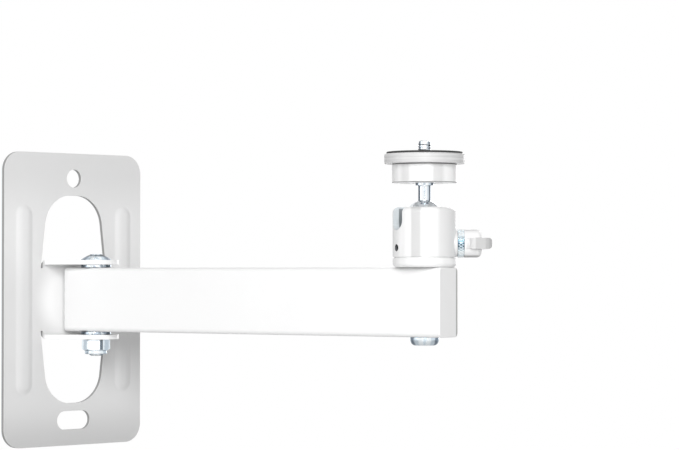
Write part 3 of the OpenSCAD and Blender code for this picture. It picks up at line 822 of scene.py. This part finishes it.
# Washers: punched steel rings between the ears and the arm, zinc plated like the bolt.
WASHER_R = 8 * MM
WASHER_BORE = 4.16 * MM
WASHER_T = 1.6 * MM
WASHER_TONE = {"Mid": (0.4, 0.46, 0.52, 1), "Dark": (0.07, 0.09, 0.11, 1), "Cloud": 1.5}
washer_zinc = surface_material("washer_zinc", bright_metal, WASHER_TONE, 1, 0.004 * MM, pivot_axes)
for name, low in (("upper_washer", EAR_INNER_Z - WASHER_T), ("lower_washer", -EAR_INNER_Z)):
    high = low + WASHER_T
    corners = ((WASHER_BORE, low), (WASHER_R, low), (WASHER_R, high), (WASHER_BORE, high))
    rim = [(r, z, 0.3 * MM) for r, z in corners]
    profile = fillet([(WASHER_BORE, (low + high) / 2, 0)] + rim + [(WASHER_BORE, (low + high) / 2, 0)])
    washer = skin(name + "_punched", turn_loops(profile[:-1]), pivot_place, [washer_zinc], True)
    fit_piece(washer, "wall_bracket", name)

# Lock nut: an M8 hexagon, chamfered at both ends, whose collar is rolled over a nylon ring that
# grips the thread. The bolt's end stands out below it.
NUT_HALF = 6.5 * MM
NUT_SEAT = 6.2 * MM
NUT_COLLAR_R = 5.9 * MM
NYLON_R = 5.2 * MM
CHAMFER = math.tan(math.radians(30))
NUT_TURN = math.radians(14)
NUT_CORNER_R = 7.5 * MM
NUT_TONE = {"Bright": (0.93, 0.97, 1, 1), "Mid": (0.84, 0.91, 0.95, 1), "Dark": (0.5, 0.58, 0.65, 1)}
nut_place = pivot_place @ Matrix.Translation((0, 0, -EAR_OUTER_Z)) @ Matrix.Rotation(math.pi, 4, "X")
nut_place = nut_place @ Matrix.Rotation(NUT_TURN, 4, "Z")
nut_hexagon = hexagon(NUT_HALF)
nut_levels = [
    (BOLT_R, 0),
    (NUT_SEAT, 0),
    (nut_hexagon, lambda r: (r - NUT_SEAT) * CHAMFER),
    (nut_hexagon, lambda r: NUT_H - (r - NUT_SEAT) * CHAMFER),
]
nut_levels += fillet(
    [
        (NUT_COLLAR_R + 0.25 * MM, NUT_H, 0),
        (NUT_COLLAR_R, NUT_H + 0.2 * MM, 0),
        (NUT_COLLAR_R, NUT_TOP, 0.7 * MM),
        (NYLON_R - 0.3 * MM, NUT_TOP, 0.1 * MM),
        (NYLON_R - 0.3 * MM, NUT_TOP - 0.2 * MM, 0),
        (NYLON_R, NUT_TOP - 0.25 * MM, 0),
        (NYLON_R, NUT_H, 0),
        (BOLT_R, NUT_H, 0),
    ]
)
hexagon_edge = math.radians(25)
nut_zinc = surface_material("nut_zinc", bright_metal, NUT_TONE, 1, 0.004 * MM, pivot_axes)
nut_tree = nut_zinc.node_tree
nut_spot = own_spot(nut_zinc)
nut_reach = distance_from_z(nut_tree, nut_spot)
nut_side = split(nut_tree, nut_spot)["Y"]
# Painted dark reflection: a dark line down a corner of the nut, on one side of it.
at_corner = ease(nut_tree, nut_reach, NUT_CORNER_R - 0.55 * MM, NUT_CORNER_R - 0.35 * MM)
one_side = both(nut_tree, ease(nut_tree, nut_side, 0, 1 * MM), ease(nut_tree, nut_side, 4.6 * MM, 5 * MM, 1.0, 0.0))
tint_where(nut_zinc, both(nut_tree, at_corner, one_side), (0.14, 0.17, 0.2, 1))
nut = skin("pivot_nut_hexagon", turn_loops(nut_levels), nut_place, [nut_zinc], True, hexagon_edge)
fit_piece(nut, "wall_bracket", "pivot_nut")


def build_moulding():
    """Moulded plastic: an even tone with the fine matt grain of its mould."""
    group, given, result = new_group(
        "moulded_plastic",
        [
            ("Spot", "NodeSocketVector", None),
            ("Tone", "NodeSocketColor", (0.9, 0.9, 0.9, 1)),
            ("Shade", "NodeSocketColor", (0.86, 0.86, 0.86, 1)),
            ("Grain Scale", "NodeSocketFloat", 3200.0),
            ("Smooth", "NodeSocketFloat", 0.34),
            ("Rough", "NodeSocketFloat", 0.44),
        ],
        SURFACE_OUTPUTS,
    )
    grain = noise(group, given["Spot"], given["Grain Scale"], 2.0)
    cloud = noise(group, given["Spot"], 90.0, 2.0)
    group.links.new(blend_colours(group, cloud, given["Tone"], given["Shade"]), result["Color"])
    group.links.new(spread(group, grain, given["Smooth"], given["Rough"]), result["Roughness"])
    group.links.new(grain, result["Height"])
    return group


moulded_plastic = build_moulding()
NYLON_TONE = {"Tone": (0.6, 0.7, 0.78, 1), "Shade": (0.52, 0.62, 0.7, 1)}
nylon = surface_material("natural_nylon", moulded_plastic, NYLON_TONE, 0, 0.01 * MM)
nylon_corners = ((BOLT_R, NUT_TOP - 1.5 * MM), (BOLT_R, NUT_TOP - 0.3 * MM))
nylon_corners += ((NYLON_R - 0.05 * MM, NUT_TOP - 0.3 * MM), (NYLON_R - 0.05 * MM, NUT_TOP - 1.5 * MM))
nylon_ring = skin("nut_insert_ring", turn_loops(nylon_corners), nut_place, [nylon], closed=True)
fit_piece(nylon_ring, "wall_bracket", "nut_insert")

# Arm: rectangular steel tube with rolled corners, drilled through near both ends and coated with
# the same powder as the plate. Inside, a turned steel sleeve round each bolt keeps it from closing.
# Painted light: the arm's copy of the plate's powder is given a lighter tone, so that the arm shows whiter than the
# plate.
ARM_TONE = {"Tone": grey(0.92), "Shade": grey(0.895)}
arm_coat = surface_material("arm_powder", powder_coat, ARM_TONE, 0, 0.01 * MM)
HEAD_BRIGHT_TURN = -136
head_axes = axes_at((ball_at.x, ball_at.y, 0), HEAD_BRIGHT_TURN)
HEAD_TONE = {"Dark Width": 0.2, "Cloud": 0.2}
head_zinc = surface_material("head_zinc", bright_metal, HEAD_TONE, 1, 0.004 * MM, head_axes)


def paint_node(node, material):
    slots = frame["nodes"][node].data.materials
    slots.clear()
    slots.append(material)


paint_node("arm_tube", arm_coat)
paint_node("pivot_sleeve", pivot_zinc)
paint_node("clamp_sleeve", head_zinc)

# End caps: moulded plastic plugs pressed into both ends of the tube. A rim with a rounded edge
# covers the tube's end, and the plug is held inside by its fit.
ARM_W = 16.6 * MM
ARM_H = 33.6 * MM
ARM_WALL = 1.5 * MM
ARM_ROUND = 2.2 * MM
ARM_TAIL = 15 * MM
ARM_NOSE = 13.7 * MM
CAP_RIM = 2.1 * MM
CAP_EDGE = 0.5 * MM
CAP_PLUG = 5 * MM
CAP_SLACK = 0.1 * MM
CAP_TONE = {"Tone": grey(0.9), "Shade": grey(0.87)}


def tube_loop(inset, depth):
    """The tube's outline, drawn in by an inset, at a depth behind the cap's outer face."""
    soft = max(ARM_ROUND - inset, 0.3 * MM)
    middle_x = ARM_W / 2 - inset - soft
    middle_y = ARM_H / 2 - inset - soft
    loop = []
    for sign_x, sign_y, start in ((1, 1, 0), (-1, 1, 90), (-1, -1, 180), (1, -1, 270)):
        loop += arc((sign_x * middle_x, sign_y * middle_y), soft, start, start + 90, 8)
    return [(x, y, -depth) for x, y in loop]


arm_along = Vector((ball_at.x - pivot_at.x, ball_at.y - pivot_at.y, 0)).normalized()
up = Vector((0, 0, 1))
ball_foot = Vector((ball_at.x, ball_at.y, 0))
arm_side = up.cross(arm_along)
arm_place = Matrix((arm_side, up, arm_along)).transposed().to_4x4()
# Painted shade: a dark grey strip along one side edge of each end cap.
CAP_SHADE_TONE = grey(0.42)
cap_plastic = surface_material("cap_moulding", moulded_plastic, CAP_TONE, 0, 0.012 * MM, arm_place)
cap_tree = cap_plastic.node_tree
cap_side = add_up(cap_tree, split(cap_tree, own_spot(cap_plastic))["X"], 1.0, -arm_side.dot(pivot_at))
far_side = ease(cap_tree, cap_side, ARM_W / 2 - 1.9 * MM, ARM_W / 2 - 1.6 * MM)
tint_where(cap_plastic, far_side, CAP_SHADE_TONE)
for node, at, outward in (
    ("outer_end_cap", ball_foot + arm_along * ARM_NOSE, arm_along),
    ("inner_end_cap", pivot_at - arm_along * ARM_TAIL, -arm_along),
):
    loops = []
    for step in range(6):
        turn = math.pi / 2 * step / 5
        loops.append(tube_loop(CAP_EDGE * (1 - math.sin(turn)), CAP_EDGE * (1 - math.cos(turn))))
    plug = ARM_WALL + CAP_SLACK
    loops += [tube_loop(0, CAP_RIM - 0.15 * MM), tube_loop(0.15 * MM, CAP_RIM)]
    loops += [tube_loop(plug, CAP_RIM), tube_loop(plug, CAP_RIM + CAP_PLUG - 0.6 * MM)]
    loops.append(tube_loop(plug + 0.5 * MM, CAP_RIM + CAP_PLUG))
    turned = Matrix((up.cross(outward), up, outward)).transposed().to_4x4()
    cap = skin(node + "_moulded", loops, Matrix.Translation(at) @ turned, [cap_plastic])
    fit_piece(cap, "arm", node)

# Clamp screw: an M8 button-head screw from below the arm's end, zinc plated, with a hexagon
# socket. Its shank runs through the tube and its sleeve into the ball clamp's base.
SCREW_R = 4 * MM
BUTTON_R = 7.05 * MM
BUTTON_H = 4 * MM
BUTTON_EDGE = 0.9 * MM
BUTTON_FLAT = 4.7 * MM
BUTTON_SOCKET = 2.4 * MM
SCREW_REACH = 6.4 * MM
button_levels = [(socket, -BUTTON_H + BUTTON_SOCKET), (socket, -BUTTON_H + 0.3 * MM)]
button_levels += [(lambda turn: socket(turn) + 0.3 * MM, -BUTTON_H), (BUTTON_FLAT, -BUTTON_H)]
for step in range(1, 9):
    turn = math.pi / 2 * step / 8
    across = BUTTON_FLAT + (BUTTON_R - BUTTON_FLAT) * math.sin(turn)
    button_levels.append((across, -BUTTON_EDGE - (BUTTON_H - BUTTON_EDGE) * math.cos(turn)))
button_levels += [(BUTTON_R, -0.15 * MM), (BUTTON_R - 0.15 * MM, 0), (SCREW_R, 0)]
button_levels += [(SCREW_R, ARM_H + SCREW_REACH - 0.5 * MM), (SCREW_R - 0.5 * MM, ARM_H + SCREW_REACH)]
screw_place = Matrix.Translation(ball_foot - up * ARM_H / 2)
clamp_screw = skin("clamp_screw_button", turn_loops(button_levels), screw_place, [head_zinc])
fit_piece(clamp_screw, "arm", "clamp_screw")

# Ball clamp: a turned aluminium base and housing, coated white outside, with a groove between
# them and a blued steel guide pin. The bore is painted dark grey as painted shade. Inside, a
# brass plunger lifts a thin nylon cup against the ball.
CLAMP_R = 15.4 * MM
CLAMP_TOP = ARM_H / 2 + 29 * MM
BASE_H = 4.4 * MM
BASE_ROUND = 2.1 * MM
GROOVE_W = 0.5 * MM
GROOVE_R = 14.6 * MM
BASE_BORE = 4.08 * MM
SHADED_BORE_R = 12.2 * MM
STEM_SLOT_R = 4.5 * MM
PIN_HOLE_R = 1.6 * MM
PIN_Z = 26.2 * MM
# Banded paints soft bands of painted reflection round the clamp's base and housing.
CLAMP_TONE = {"Tone": grey(0.93), "Shade": grey(0.85), "Banded": 1.0}
# Dark grey painted shade for the lock ring's rounded edges.
EDGE_SHADE_TONE = {"Tone": grey(0.4), "Shade": grey(0.34)}
BRASS_TONE = {"Bright": (0.85, 0.67, 0.35, 1), "Mid": (0.7, 0.52, 0.24, 1), "Dark": (0.4, 0.27, 0.1, 1)}
BLUED_TONE = {"Bright": (0.16, 0.18, 0.2, 1), "Mid": (0.1, 0.11, 0.13, 1), "Dark": (0.05, 0.06, 0.07, 1)}
clamp_coat = surface_material("clamp_powder", powder_coat, CLAMP_TONE, 0, 0.008 * MM, head_axes)
edge_shade_coat = surface_material("clamp_edge_painted_shade", powder_coat, EDGE_SHADE_TONE, 0, 0.008 * MM, head_axes)
housing_coat = surface_material("housing_powder", powder_coat, CLAMP_TONE, 0, 0.008 * MM, head_axes)
brass = surface_material("turned_brass", bright_metal, BRASS_TONE, 1, 0.01 * MM, head_axes)
blued = surface_material("blued_steel", bright_metal, BLUED_TONE, 1, 0.01 * MM, head_axes)


slot_way = Vector(joints["ball_side_lean"]["axis"])
slot_turn = math.degrees(math.atan2(slot_way.y, slot_way.x)) - HEAD_BRIGHT_TURN
housing_tree = housing_coat.node_tree
housing_spot = own_spot(housing_coat)
housing_height = split(housing_tree, housing_spot)["Z"]
slot_axes = housing_tree.nodes.new("ShaderNodeVectorRotate")
slot_axes.rotation_type = "Z_AXIS"
slot_axes.inputs["Angle"].default_value = -math.radians(slot_turn)
housing_tree.links.new(housing_spot, slot_axes.inputs["Vector"])
slot_spot = split(housing_tree, slot_axes.outputs[0])
slot_side = ease(housing_tree, slot_spot["X"], 5 * MM, 6 * MM)


def near_line(height, radius, lowered):
    """One within a radius of the level line that runs out at a height in the slot's middle
    plane, or, where it is lowered, also above the line."""
    drop = add_up(housing_tree, housing_height, 1.0, -height)
    if lowered:
        lowest = housing_tree.nodes.new("ShaderNodeMath")
        lowest.operation = "MINIMUM"
        lowest.inputs[1].default_value = 0
        housing_tree.links.new(drop, lowest.inputs[0])
        drop = lowest.outputs[0]
    across = housing_tree.nodes.new("ShaderNodeCombineXYZ")
    housing_tree.links.new(slot_spot["Y"], across.inputs["X"])
    housing_tree.links.new(drop, across.inputs["Y"])
    reach = distance_from_z(housing_tree, across.outputs[0])
    near = ease(housing_tree, reach, radius + 0.1 * MM, radius + 0.15 * MM, 1.0, 0.0)
    return both(housing_tree, near, slot_side)


# Painted shade: the housing's bore, below its top edge, is painted dark grey.
bore_reach = distance_from_z(housing_tree, housing_spot)
in_bore = ease(housing_tree, bore_reach, SHADED_BORE_R, SHADED_BORE_R + 0.5 * MM, 1.0, 0.0)
below_top = ease(housing_tree, housing_height, CLAMP_TOP - 1.2 * MM, CLAMP_TOP - 0.3 * MM, 1.0, 0.0)
housing_side = split(housing_tree, housing_spot)["Y"]
# Painted reflection and shade on the housing: a grey band on one side of its middle and a greyer stretch on its
# other side.
left_band = both(
    housing_tree,
    ease(housing_tree, housing_side, -7 * MM, -5.8 * MM),
    ease(housing_tree, housing_side, -2.6 * MM, -0.8 * MM, 1.0, 0.0),
)
tint_where(housing_coat, left_band, grey(0.66))
tint_where(housing_coat, ease(housing_tree, housing_side, 5.5 * MM, 8 * MM), grey(0.78))
# Painted shade: the stem slot's walls are greyed and the guide pin's hole is painted dark.
tint_where(housing_coat, near_line(ball_at.z, STEM_SLOT_R, True), (0.66, 0.7, 0.72, 1))
tint_where(housing_coat, near_line(PIN_Z, PIN_HOLE_R, False), (0.13, 0.135, 0.14, 1))
tint_where(housing_coat, both(housing_tree, in_bore, below_top), (0.2, 0.22, 0.23, 1))
paint_node("clamp_housing", housing_coat)
paint_node("guide_pin", blued)
paint_node("seat_plunger", brass)
paint_node("ball_liner", nylon)
arm_top = ARM_H / 2
base_top = arm_top + BASE_H
base_profile = [
    (BASE_BORE, arm_top, 0),
    (CLAMP_R, arm_top, BASE_ROUND),
    (CLAMP_R, base_top, 0.4 * MM),
    (GROOVE_R, base_top, 0.1 * MM),
    (GROOVE_R, base_top + GROOVE_W, 0),
    (BASE_BORE, base_top + GROOVE_W, 0),
]
head_place = Matrix.Translation(ball_foot)
base_loops = turn_loops(fillet(base_profile, 8))
clamp_base = skin("clamp_base_turned", base_loops, head_place, [clamp_coat], closed=True)
fit_piece(clamp_base, "arm", "clamp_base")

# Lock screw and knob: a steel screw moulded into a white plastic hub with a flat wing. The
# wing beyond the ring, darker still at its outer end, and the hub's top and bottom are painted
# grey as painted shade. A knurled zinc ring is pressed on the hub's inner end, and the screw's
# cone lifts the plunger.
KNOB_R = 6.75 * MM
RING_W = 3.2 * MM
RING_GAP = 15.8 * MM
KNURLS = 28
KNURL_RISE = 0.24 * MM
KNURL_SLANT = math.radians(32)
WING_HALF_T = 2.75 * MM
WING_START = 24.2 * MM
KNOB_TONE = {"Tone": grey(0.94), "Shade": grey(0.91)}
knob_axis = Vector(joints["lock_knob_turn"]["axis"])
knob_at = Vector(joints["lock_knob_turn"]["pos_m"])
knob_front = up.cross(knob_axis) * -1
knob_turn = Matrix((knob_front, knob_axis.cross(knob_front), knob_axis)).transposed().to_4x4()
knob_axes = Matrix.Translation(knob_at) @ knob_turn
knob_plastic = surface_material("knob_moulding", moulded_plastic, KNOB_TONE, 0, 0.01 * MM, knob_axes)
knob_tree = knob_plastic.node_tree
knob_spot = split(knob_tree, own_spot(knob_plastic))
above = ease(knob_tree, knob_spot["Y"], -WING_HALF_T - 0.1 * MM, -WING_HALF_T)
under = spread(knob_tree, knob_spot["Y"], 1.0, 0.0, WING_HALF_T, WING_HALF_T + 0.1 * MM)
in_wing = both(knob_tree, above, under)
outside_ring = ease(knob_tree, knob_spot["Z"], RING_GAP + RING_W, RING_GAP + RING_W + 1.5 * MM)
shaded_wing_end = ease(knob_tree, knob_spot["Z"], WING_START - 0.4 * MM, WING_START + 0.4 * MM)
# Painted shade: the hub's bottom and top edges and the wing beyond the ring, darkest at its outer end, are painted
# grey.
hub_foot = ease(knob_tree, knob_spot["Y"], KNOB_R - 1.6 * MM, KNOB_R - 0.4 * MM)
hub_crown = ease(knob_tree, knob_spot["Y"], -KNOB_R + 0.3 * MM, -KNOB_R + 1.0 * MM, 1.0, 0.0)
tint_where(knob_plastic, hub_foot, grey(0.45))
tint_where(knob_plastic, hub_crown, grey(0.6))
tint_where(knob_plastic, both(knob_tree, in_wing, outside_ring), grey(0.7))
tint_where(knob_plastic, both(knob_tree, in_wing, shaded_wing_end), grey(0.5))
paint_node("lock_knob", knob_plastic)
paint_node("lock_screw", head_zinc)
knob_place = knob_axes @ Matrix.Translation((0, 0, RING_GAP))
groove_axes = knob_axes @ Matrix.Rotation(math.radians(60), 4, "Z")
# Painted reflections: dark bands on the knurl's grooves and pale ones on its ridges, turned 60 degrees round the
# knob.
GROOVE_TONE = {"Bright": (0.88, 0.95, 0.98, 1), "Mid": (0.7, 0.82, 0.88, 1), "Dark": (0.06, 0.12, 0.17, 1)}
RIDGE_TONE = {"Bright": (0.93, 0.97, 0.98, 1), "Mid": (0.86, 0.93, 0.96, 1), "Dark": (0.72, 0.82, 0.88, 1)}
for tone in (GROOVE_TONE, RIDGE_TONE):
    tone.update({"Cloud": 0.1, "Dark Width": 0.6})
groove_zinc = surface_material("knurl_groove_zinc", bright_metal, GROOVE_TONE, 1, 0.01 * MM, groove_axes)
ridge_zinc = surface_material("knurl_ridge_zinc", bright_metal, RIDGE_TONE, 1, 0.01 * MM, groove_axes)


def build_knurl_tree():
    """A diamond knurl: slanting ridges all round a ring, one set each way."""
    tree = bpy.data.node_groups.new("knurl", "GeometryNodeTree")
    for label in ("Radius", "Width", "Rise", "Slant"):
        tree.interface.new_socket(label, in_out="INPUT", socket_type="NodeSocketFloat")
    tree.interface.new_socket("Count", in_out="INPUT", socket_type="NodeSocketInt")
    tree.interface.new_socket("Material", in_out="INPUT", socket_type="NodeSocketMaterial")
    tree.interface.new_socket("Geometry", in_out="OUTPUT", socket_type="NodeSocketGeometry")
    given = tree.nodes.new("NodeGroupInput").outputs
    circle = tree.nodes.new("GeometryNodeMeshCircle")
    tree.links.new(given["Count"], circle.inputs["Vertices"])
    tree.links.new(given["Radius"], circle.inputs["Radius"])
    ridge = tree.nodes.new("GeometryNodeMeshCylinder")
    ridge.inputs["Vertices"].default_value = 4
    tree.links.new(given["Rise"], ridge.inputs["Radius"])
    tree.links.new(given["Width"], ridge.inputs["Depth"])
    position = tree.nodes.new("GeometryNodeInputPosition")
    facing = tree.nodes.new("FunctionNodeAlignRotationToVector")
    facing.axis = "X"
    facing.pivot_axis = "Z"
    tree.links.new(position.outputs[0], facing.inputs["Vector"])
    join = tree.nodes.new("GeometryNodeJoinGeometry")
    for way in (1, -1):
        slant = tree.nodes.new("ShaderNodeMath")
        slant.operation = "MULTIPLY"
        slant.inputs[1].default_value = way
        tree.links.new(given["Slant"], slant.inputs[0])
        turn = tree.nodes.new("ShaderNodeCombineXYZ")
        tree.links.new(slant.outputs[0], turn.inputs["X"])
        lean = tree.nodes.new("GeometryNodeTransform")
        tree.links.new(ridge.outputs["Mesh"], lean.inputs["Geometry"])
        tree.links.new(turn.outputs[0], lean.inputs["Rotation"])
        place = tree.nodes.new("GeometryNodeInstanceOnPoints")
        tree.links.new(circle.outputs["Mesh"], place.inputs["Points"])
        tree.links.new(lean.outputs["Geometry"], place.inputs["Instance"])
        tree.links.new(facing.outputs["Rotation"], place.inputs["Rotation"])
        tree.links.new(place.outputs["Instances"], join.inputs["Geometry"])
    end_tree(tree, join.outputs["Geometry"], given["Material"])
    return tree


core = KNOB_R - KNURL_RISE
corners = ((3 * MM, 0), (core, 0), (core, RING_W), (3 * MM, RING_W))
core_rim = [(r, z, 0.3 * MM) for r, z in corners]
profile = fillet([(3 * MM, RING_W / 2, 0)] + core_rim + [(3 * MM, RING_W / 2, 0)])
knob_ring = skin("knob_ring_core", turn_loops(profile[:-1]), knob_place, [groove_zinc], closed=True)
fit_piece(knob_ring, "lock_knob", "knob_ring")
knurl_values = {"Radius": core, "Width": (RING_W - 0.5 * MM) / math.cos(KNURL_SLANT)}
knurl_values.update({"Rise": KNURL_RISE, "Slant": KNURL_SLANT, "Count": KNURLS, "Material": ridge_zinc})
knurl_place = knob_place @ Matrix.Translation((0, 0, RING_W / 2))
knurl = grow("knob_ring_knurl", build_knurl_tree(), knurl_values, knurl_place)
fit_piece(knurl, "lock_knob", None)

# Ball and stem: one bar of steel, turned, polished and chromed. The stem's collar carries the
# lock ring and the platform, and its top is cut with a quarter-inch camera thread.
BALL_R = 10.1 * MM
STEM_R = 3.1 * MM
WAIST_R = 0.6 * MM
STEM_COLLAR_R = 4.4 * MM
COLLAR_Z = 56.1 * MM
RING_Z = 57.5 * MM
SHAFT_R = 3.95 * MM
PAD_Z = 71.5 * MM
STUD_R = 3.175 * MM
STUD_PITCH = 1.27 * MM
STUD_TOP = 78 * MM
STUD_THREAD_Z = 73 * MM
CHROME_TONE = {
    "Bright": (0.95, 0.97, 0.99, 1),
    "Mid": (0.62, 0.69, 0.75, 1),
    "Dark": (0.12, 0.14, 0.17, 1),
    "Cloud": 0.12,
    "Dark Width": 0.3,
    "Smooth": 0.06,
    "Rough": 0.12,
}
ball_chrome = surface_material("ball_chrome_plate", bright_metal, CHROME_TONE, 1, 0.001 * MM, head_axes)
ball_tree = ball_chrome.node_tree
ball_height = split(ball_tree, own_spot(ball_chrome))["Z"]
on_ball = ease(ball_tree, ball_height, ball_at.z + 9.3 * MM, ball_at.z + 9.8 * MM, 0.8, 0.0)
tint_where(ball_chrome, on_ball, (0.96, 0.98, 1, 1))
waist_z = math.sqrt((BALL_R + WAIST_R) ** 2 - (STEM_R + WAIST_R) ** 2)
touch = math.acos((STEM_R + WAIST_R) / (BALL_R + WAIST_R))
stem_levels = []
for step in range(1, 41):
    turn = -math.pi / 2 + (math.pi / 2 + touch) * step / 40
    stem_levels.append((BALL_R * math.cos(turn), ball_at.z + BALL_R * math.sin(turn)))
for step in range(1, 5):
    turn = touch * (1 - step / 4)
    across = STEM_R + WAIST_R * (1 - math.cos(turn))
    stem_levels.append((across, ball_at.z + waist_z - WAIST_R * math.sin(turn)))
stem_levels += fillet(
    [
        (STEM_R, ball_at.z + waist_z + 0.1 * MM, 0),
        (STEM_R, COLLAR_Z, 0.3 * MM),
        (STEM_COLLAR_R, COLLAR_Z, 0.3 * MM),
        (STEM_COLLAR_R, RING_Z - 0.02 * MM, 0),
        (SHAFT_R, RING_Z - 0.02 * MM, 0),
        (SHAFT_R, PAD_Z, 0),
        (STUD_R - 1.1 * THREAD_DEEP, PAD_Z, 0),
        (STUD_R - 1.1 * THREAD_DEEP, STUD_TOP - 0.5 * MM, 0.3 * MM),
        (STUD_R - 1.2 * MM, STUD_TOP, 0),
    ]
)
stem_place = Matrix.Translation((ball_at.x, ball_at.y, 0))
ball_stem = skin("ball_stem_turned", turn_loops(stem_levels), stem_place, [ball_chrome])
fit_piece(ball_stem, "ball", "ball_stem")
stud_place = stem_place @ Matrix.Translation((0, 0, STUD_THREAD_Z))
stud_thread = add_thread("camera_thread", STUD_R, STUD_PITCH, 4.2 * MM, stud_place, ball_chrome)
fit_piece(stud_thread, "ball", None)

# Lock ring and platform: turned aluminium on the stem's thread, coated white, with fine turning
# lines on the platform. The ring jams the platform, and a ring of black rubber with round ridges
# is glued on top to grip what stands there.
LOCK_RING_R = 15.7 * MM
LOCK_RING_TOP = 66.6 * MM
PLATFORM_R = 19.4 * MM
PLATFORM_Z = 66.7 * MM
PAD_R = 18.4 * MM
PAD_T = 1 * MM
PAD_RIDGES = 12
HEAD_BORE = 4.3 * MM
# Painted reflections: the lock ring's coat is banded round its axis, with two grey bands across it.
RING_TONE = {"Tone": grey(0.95), "Shade": grey(0.87), "Banded": 1.0, "Band Scale": 2.9}
RING_BANDS = ((-11 * MM, -7.2 * MM), (4 * MM, 9 * MM))
BAND_FADE = 1 * MM
ring_coat = surface_material("ring_powder", powder_coat, RING_TONE, 0, 0.008 * MM, head_axes)
ring_tree = ring_coat.node_tree
ring_side = split(ring_tree, own_spot(ring_coat))["Y"]
for low, high in RING_BANDS:
    after_low = ease(ring_tree, ring_side, low - BAND_FADE, low + BAND_FADE)
    before_high = ease(ring_tree, ring_side, high - BAND_FADE, high + BAND_FADE, 1.0, 0.0)
    tint_where(ring_coat, both(ring_tree, after_low, before_high), grey(0.7))


def build_turned_coat():
    """Thin powder over turned metal, whose fine lines show through round the Z axis."""
    group, given, result = new_group(
        "turned_coat",
        [
            ("Spot", "NodeSocketVector", None),
            ("Tone", "NodeSocketColor", (0.9, 0.9, 0.9, 1)),
            ("Shade", "NodeSocketColor", (0.8, 0.8, 0.8, 1)),
            ("Line Scale", "NodeSocketFloat", 1500.0),
            ("Smooth", "NodeSocketFloat", 0.34),
            ("Rough", "NodeSocketFloat", 0.46),
        ],
        SURFACE_OUTPUTS,
    )
    flatten = group.nodes.new("ShaderNodeVectorMath")
    flatten.operation = "MULTIPLY"
    flatten.inputs[1].default_value = (0.02, 0.02, 1)
    group.links.new(given["Spot"], flatten.inputs[0])
    line = noise(group, flatten.outputs[0], given["Line Scale"], 1.0)
    bold = ease(group, line, 0.4, 0.6)
    group.links.new(blend_colours(group, bold, given["Tone"], given["Shade"]), result["Color"])
    group.links.new(spread(group, line, given["Smooth"], given["Rough"]), result["Roughness"])
    group.links.new(line, result["Height"])
    return group


# Painted shadow: the platform's coat is given a grey tone, darker than the lock ring's white.
PLATFORM_TONE = {"Tone": grey(0.7), "Shade": grey(0.58)}
RUBBER_TONE = {"Tone": grey(0.035), "Shade": grey(0.028), "Smooth": 0.6, "Rough": 0.75}
platform_coat = surface_material(
    "platform_powder", build_turned_coat(), PLATFORM_TONE, 0, 0.01 * MM, head_axes
)
rubber = surface_material("pad_rubber", moulded_plastic, RUBBER_TONE, 0, 0.03 * MM)
# The lock ring's rounded edge rows take the painted shade coat.
for name, body, radius, low, high, soft, coats in (
    ("lock_ring", "lock_ring", LOCK_RING_R, RING_Z, LOCK_RING_TOP, 0.45 * MM, [ring_coat, edge_shade_coat]),
    ("platform", "platform", PLATFORM_R, PLATFORM_Z, PAD_Z, 0.5 * MM, [platform_coat, platform_coat]),
):
    corners = [(HEAD_BORE, low, 0), (radius, low, soft), (radius, high, soft), (HEAD_BORE, high, 0)]
    loops = turn_loops(fillet(corners))
    turned_piece = skin(name + "_turned", loops, stem_place, coats, True, edges=edge_rows(corners))
    fit_piece(turned_piece, body, name)
pad_profile = [(HEAD_BORE, PAD_Z, 0), (PAD_R, PAD_Z, 0), (PAD_R, PAD_Z + PAD_T, 0.3 * MM)]
ridge_w = (PAD_R - HEAD_BORE) / (PAD_RIDGES + 1)
for k in range(PAD_RIDGES):
    r = PAD_R - ridge_w * (k + 0.8)
    for back, height in ((0, PAD_T), (0.2, PAD_T - 0.35 * MM), (0.5, PAD_T - 0.35 * MM), (0.7, PAD_T)):
        pad_profile.append((r - ridge_w * back, PAD_Z + height, 0))
pad_profile.append((HEAD_BORE, PAD_Z + PAD_T, 0))
rubber_pad = skin("rubber_pad_ridged", turn_loops(fillet(pad_profile)), stem_place, [rubber], True)
fit_piece(rubber_pad, "platform", "rubber_pad")
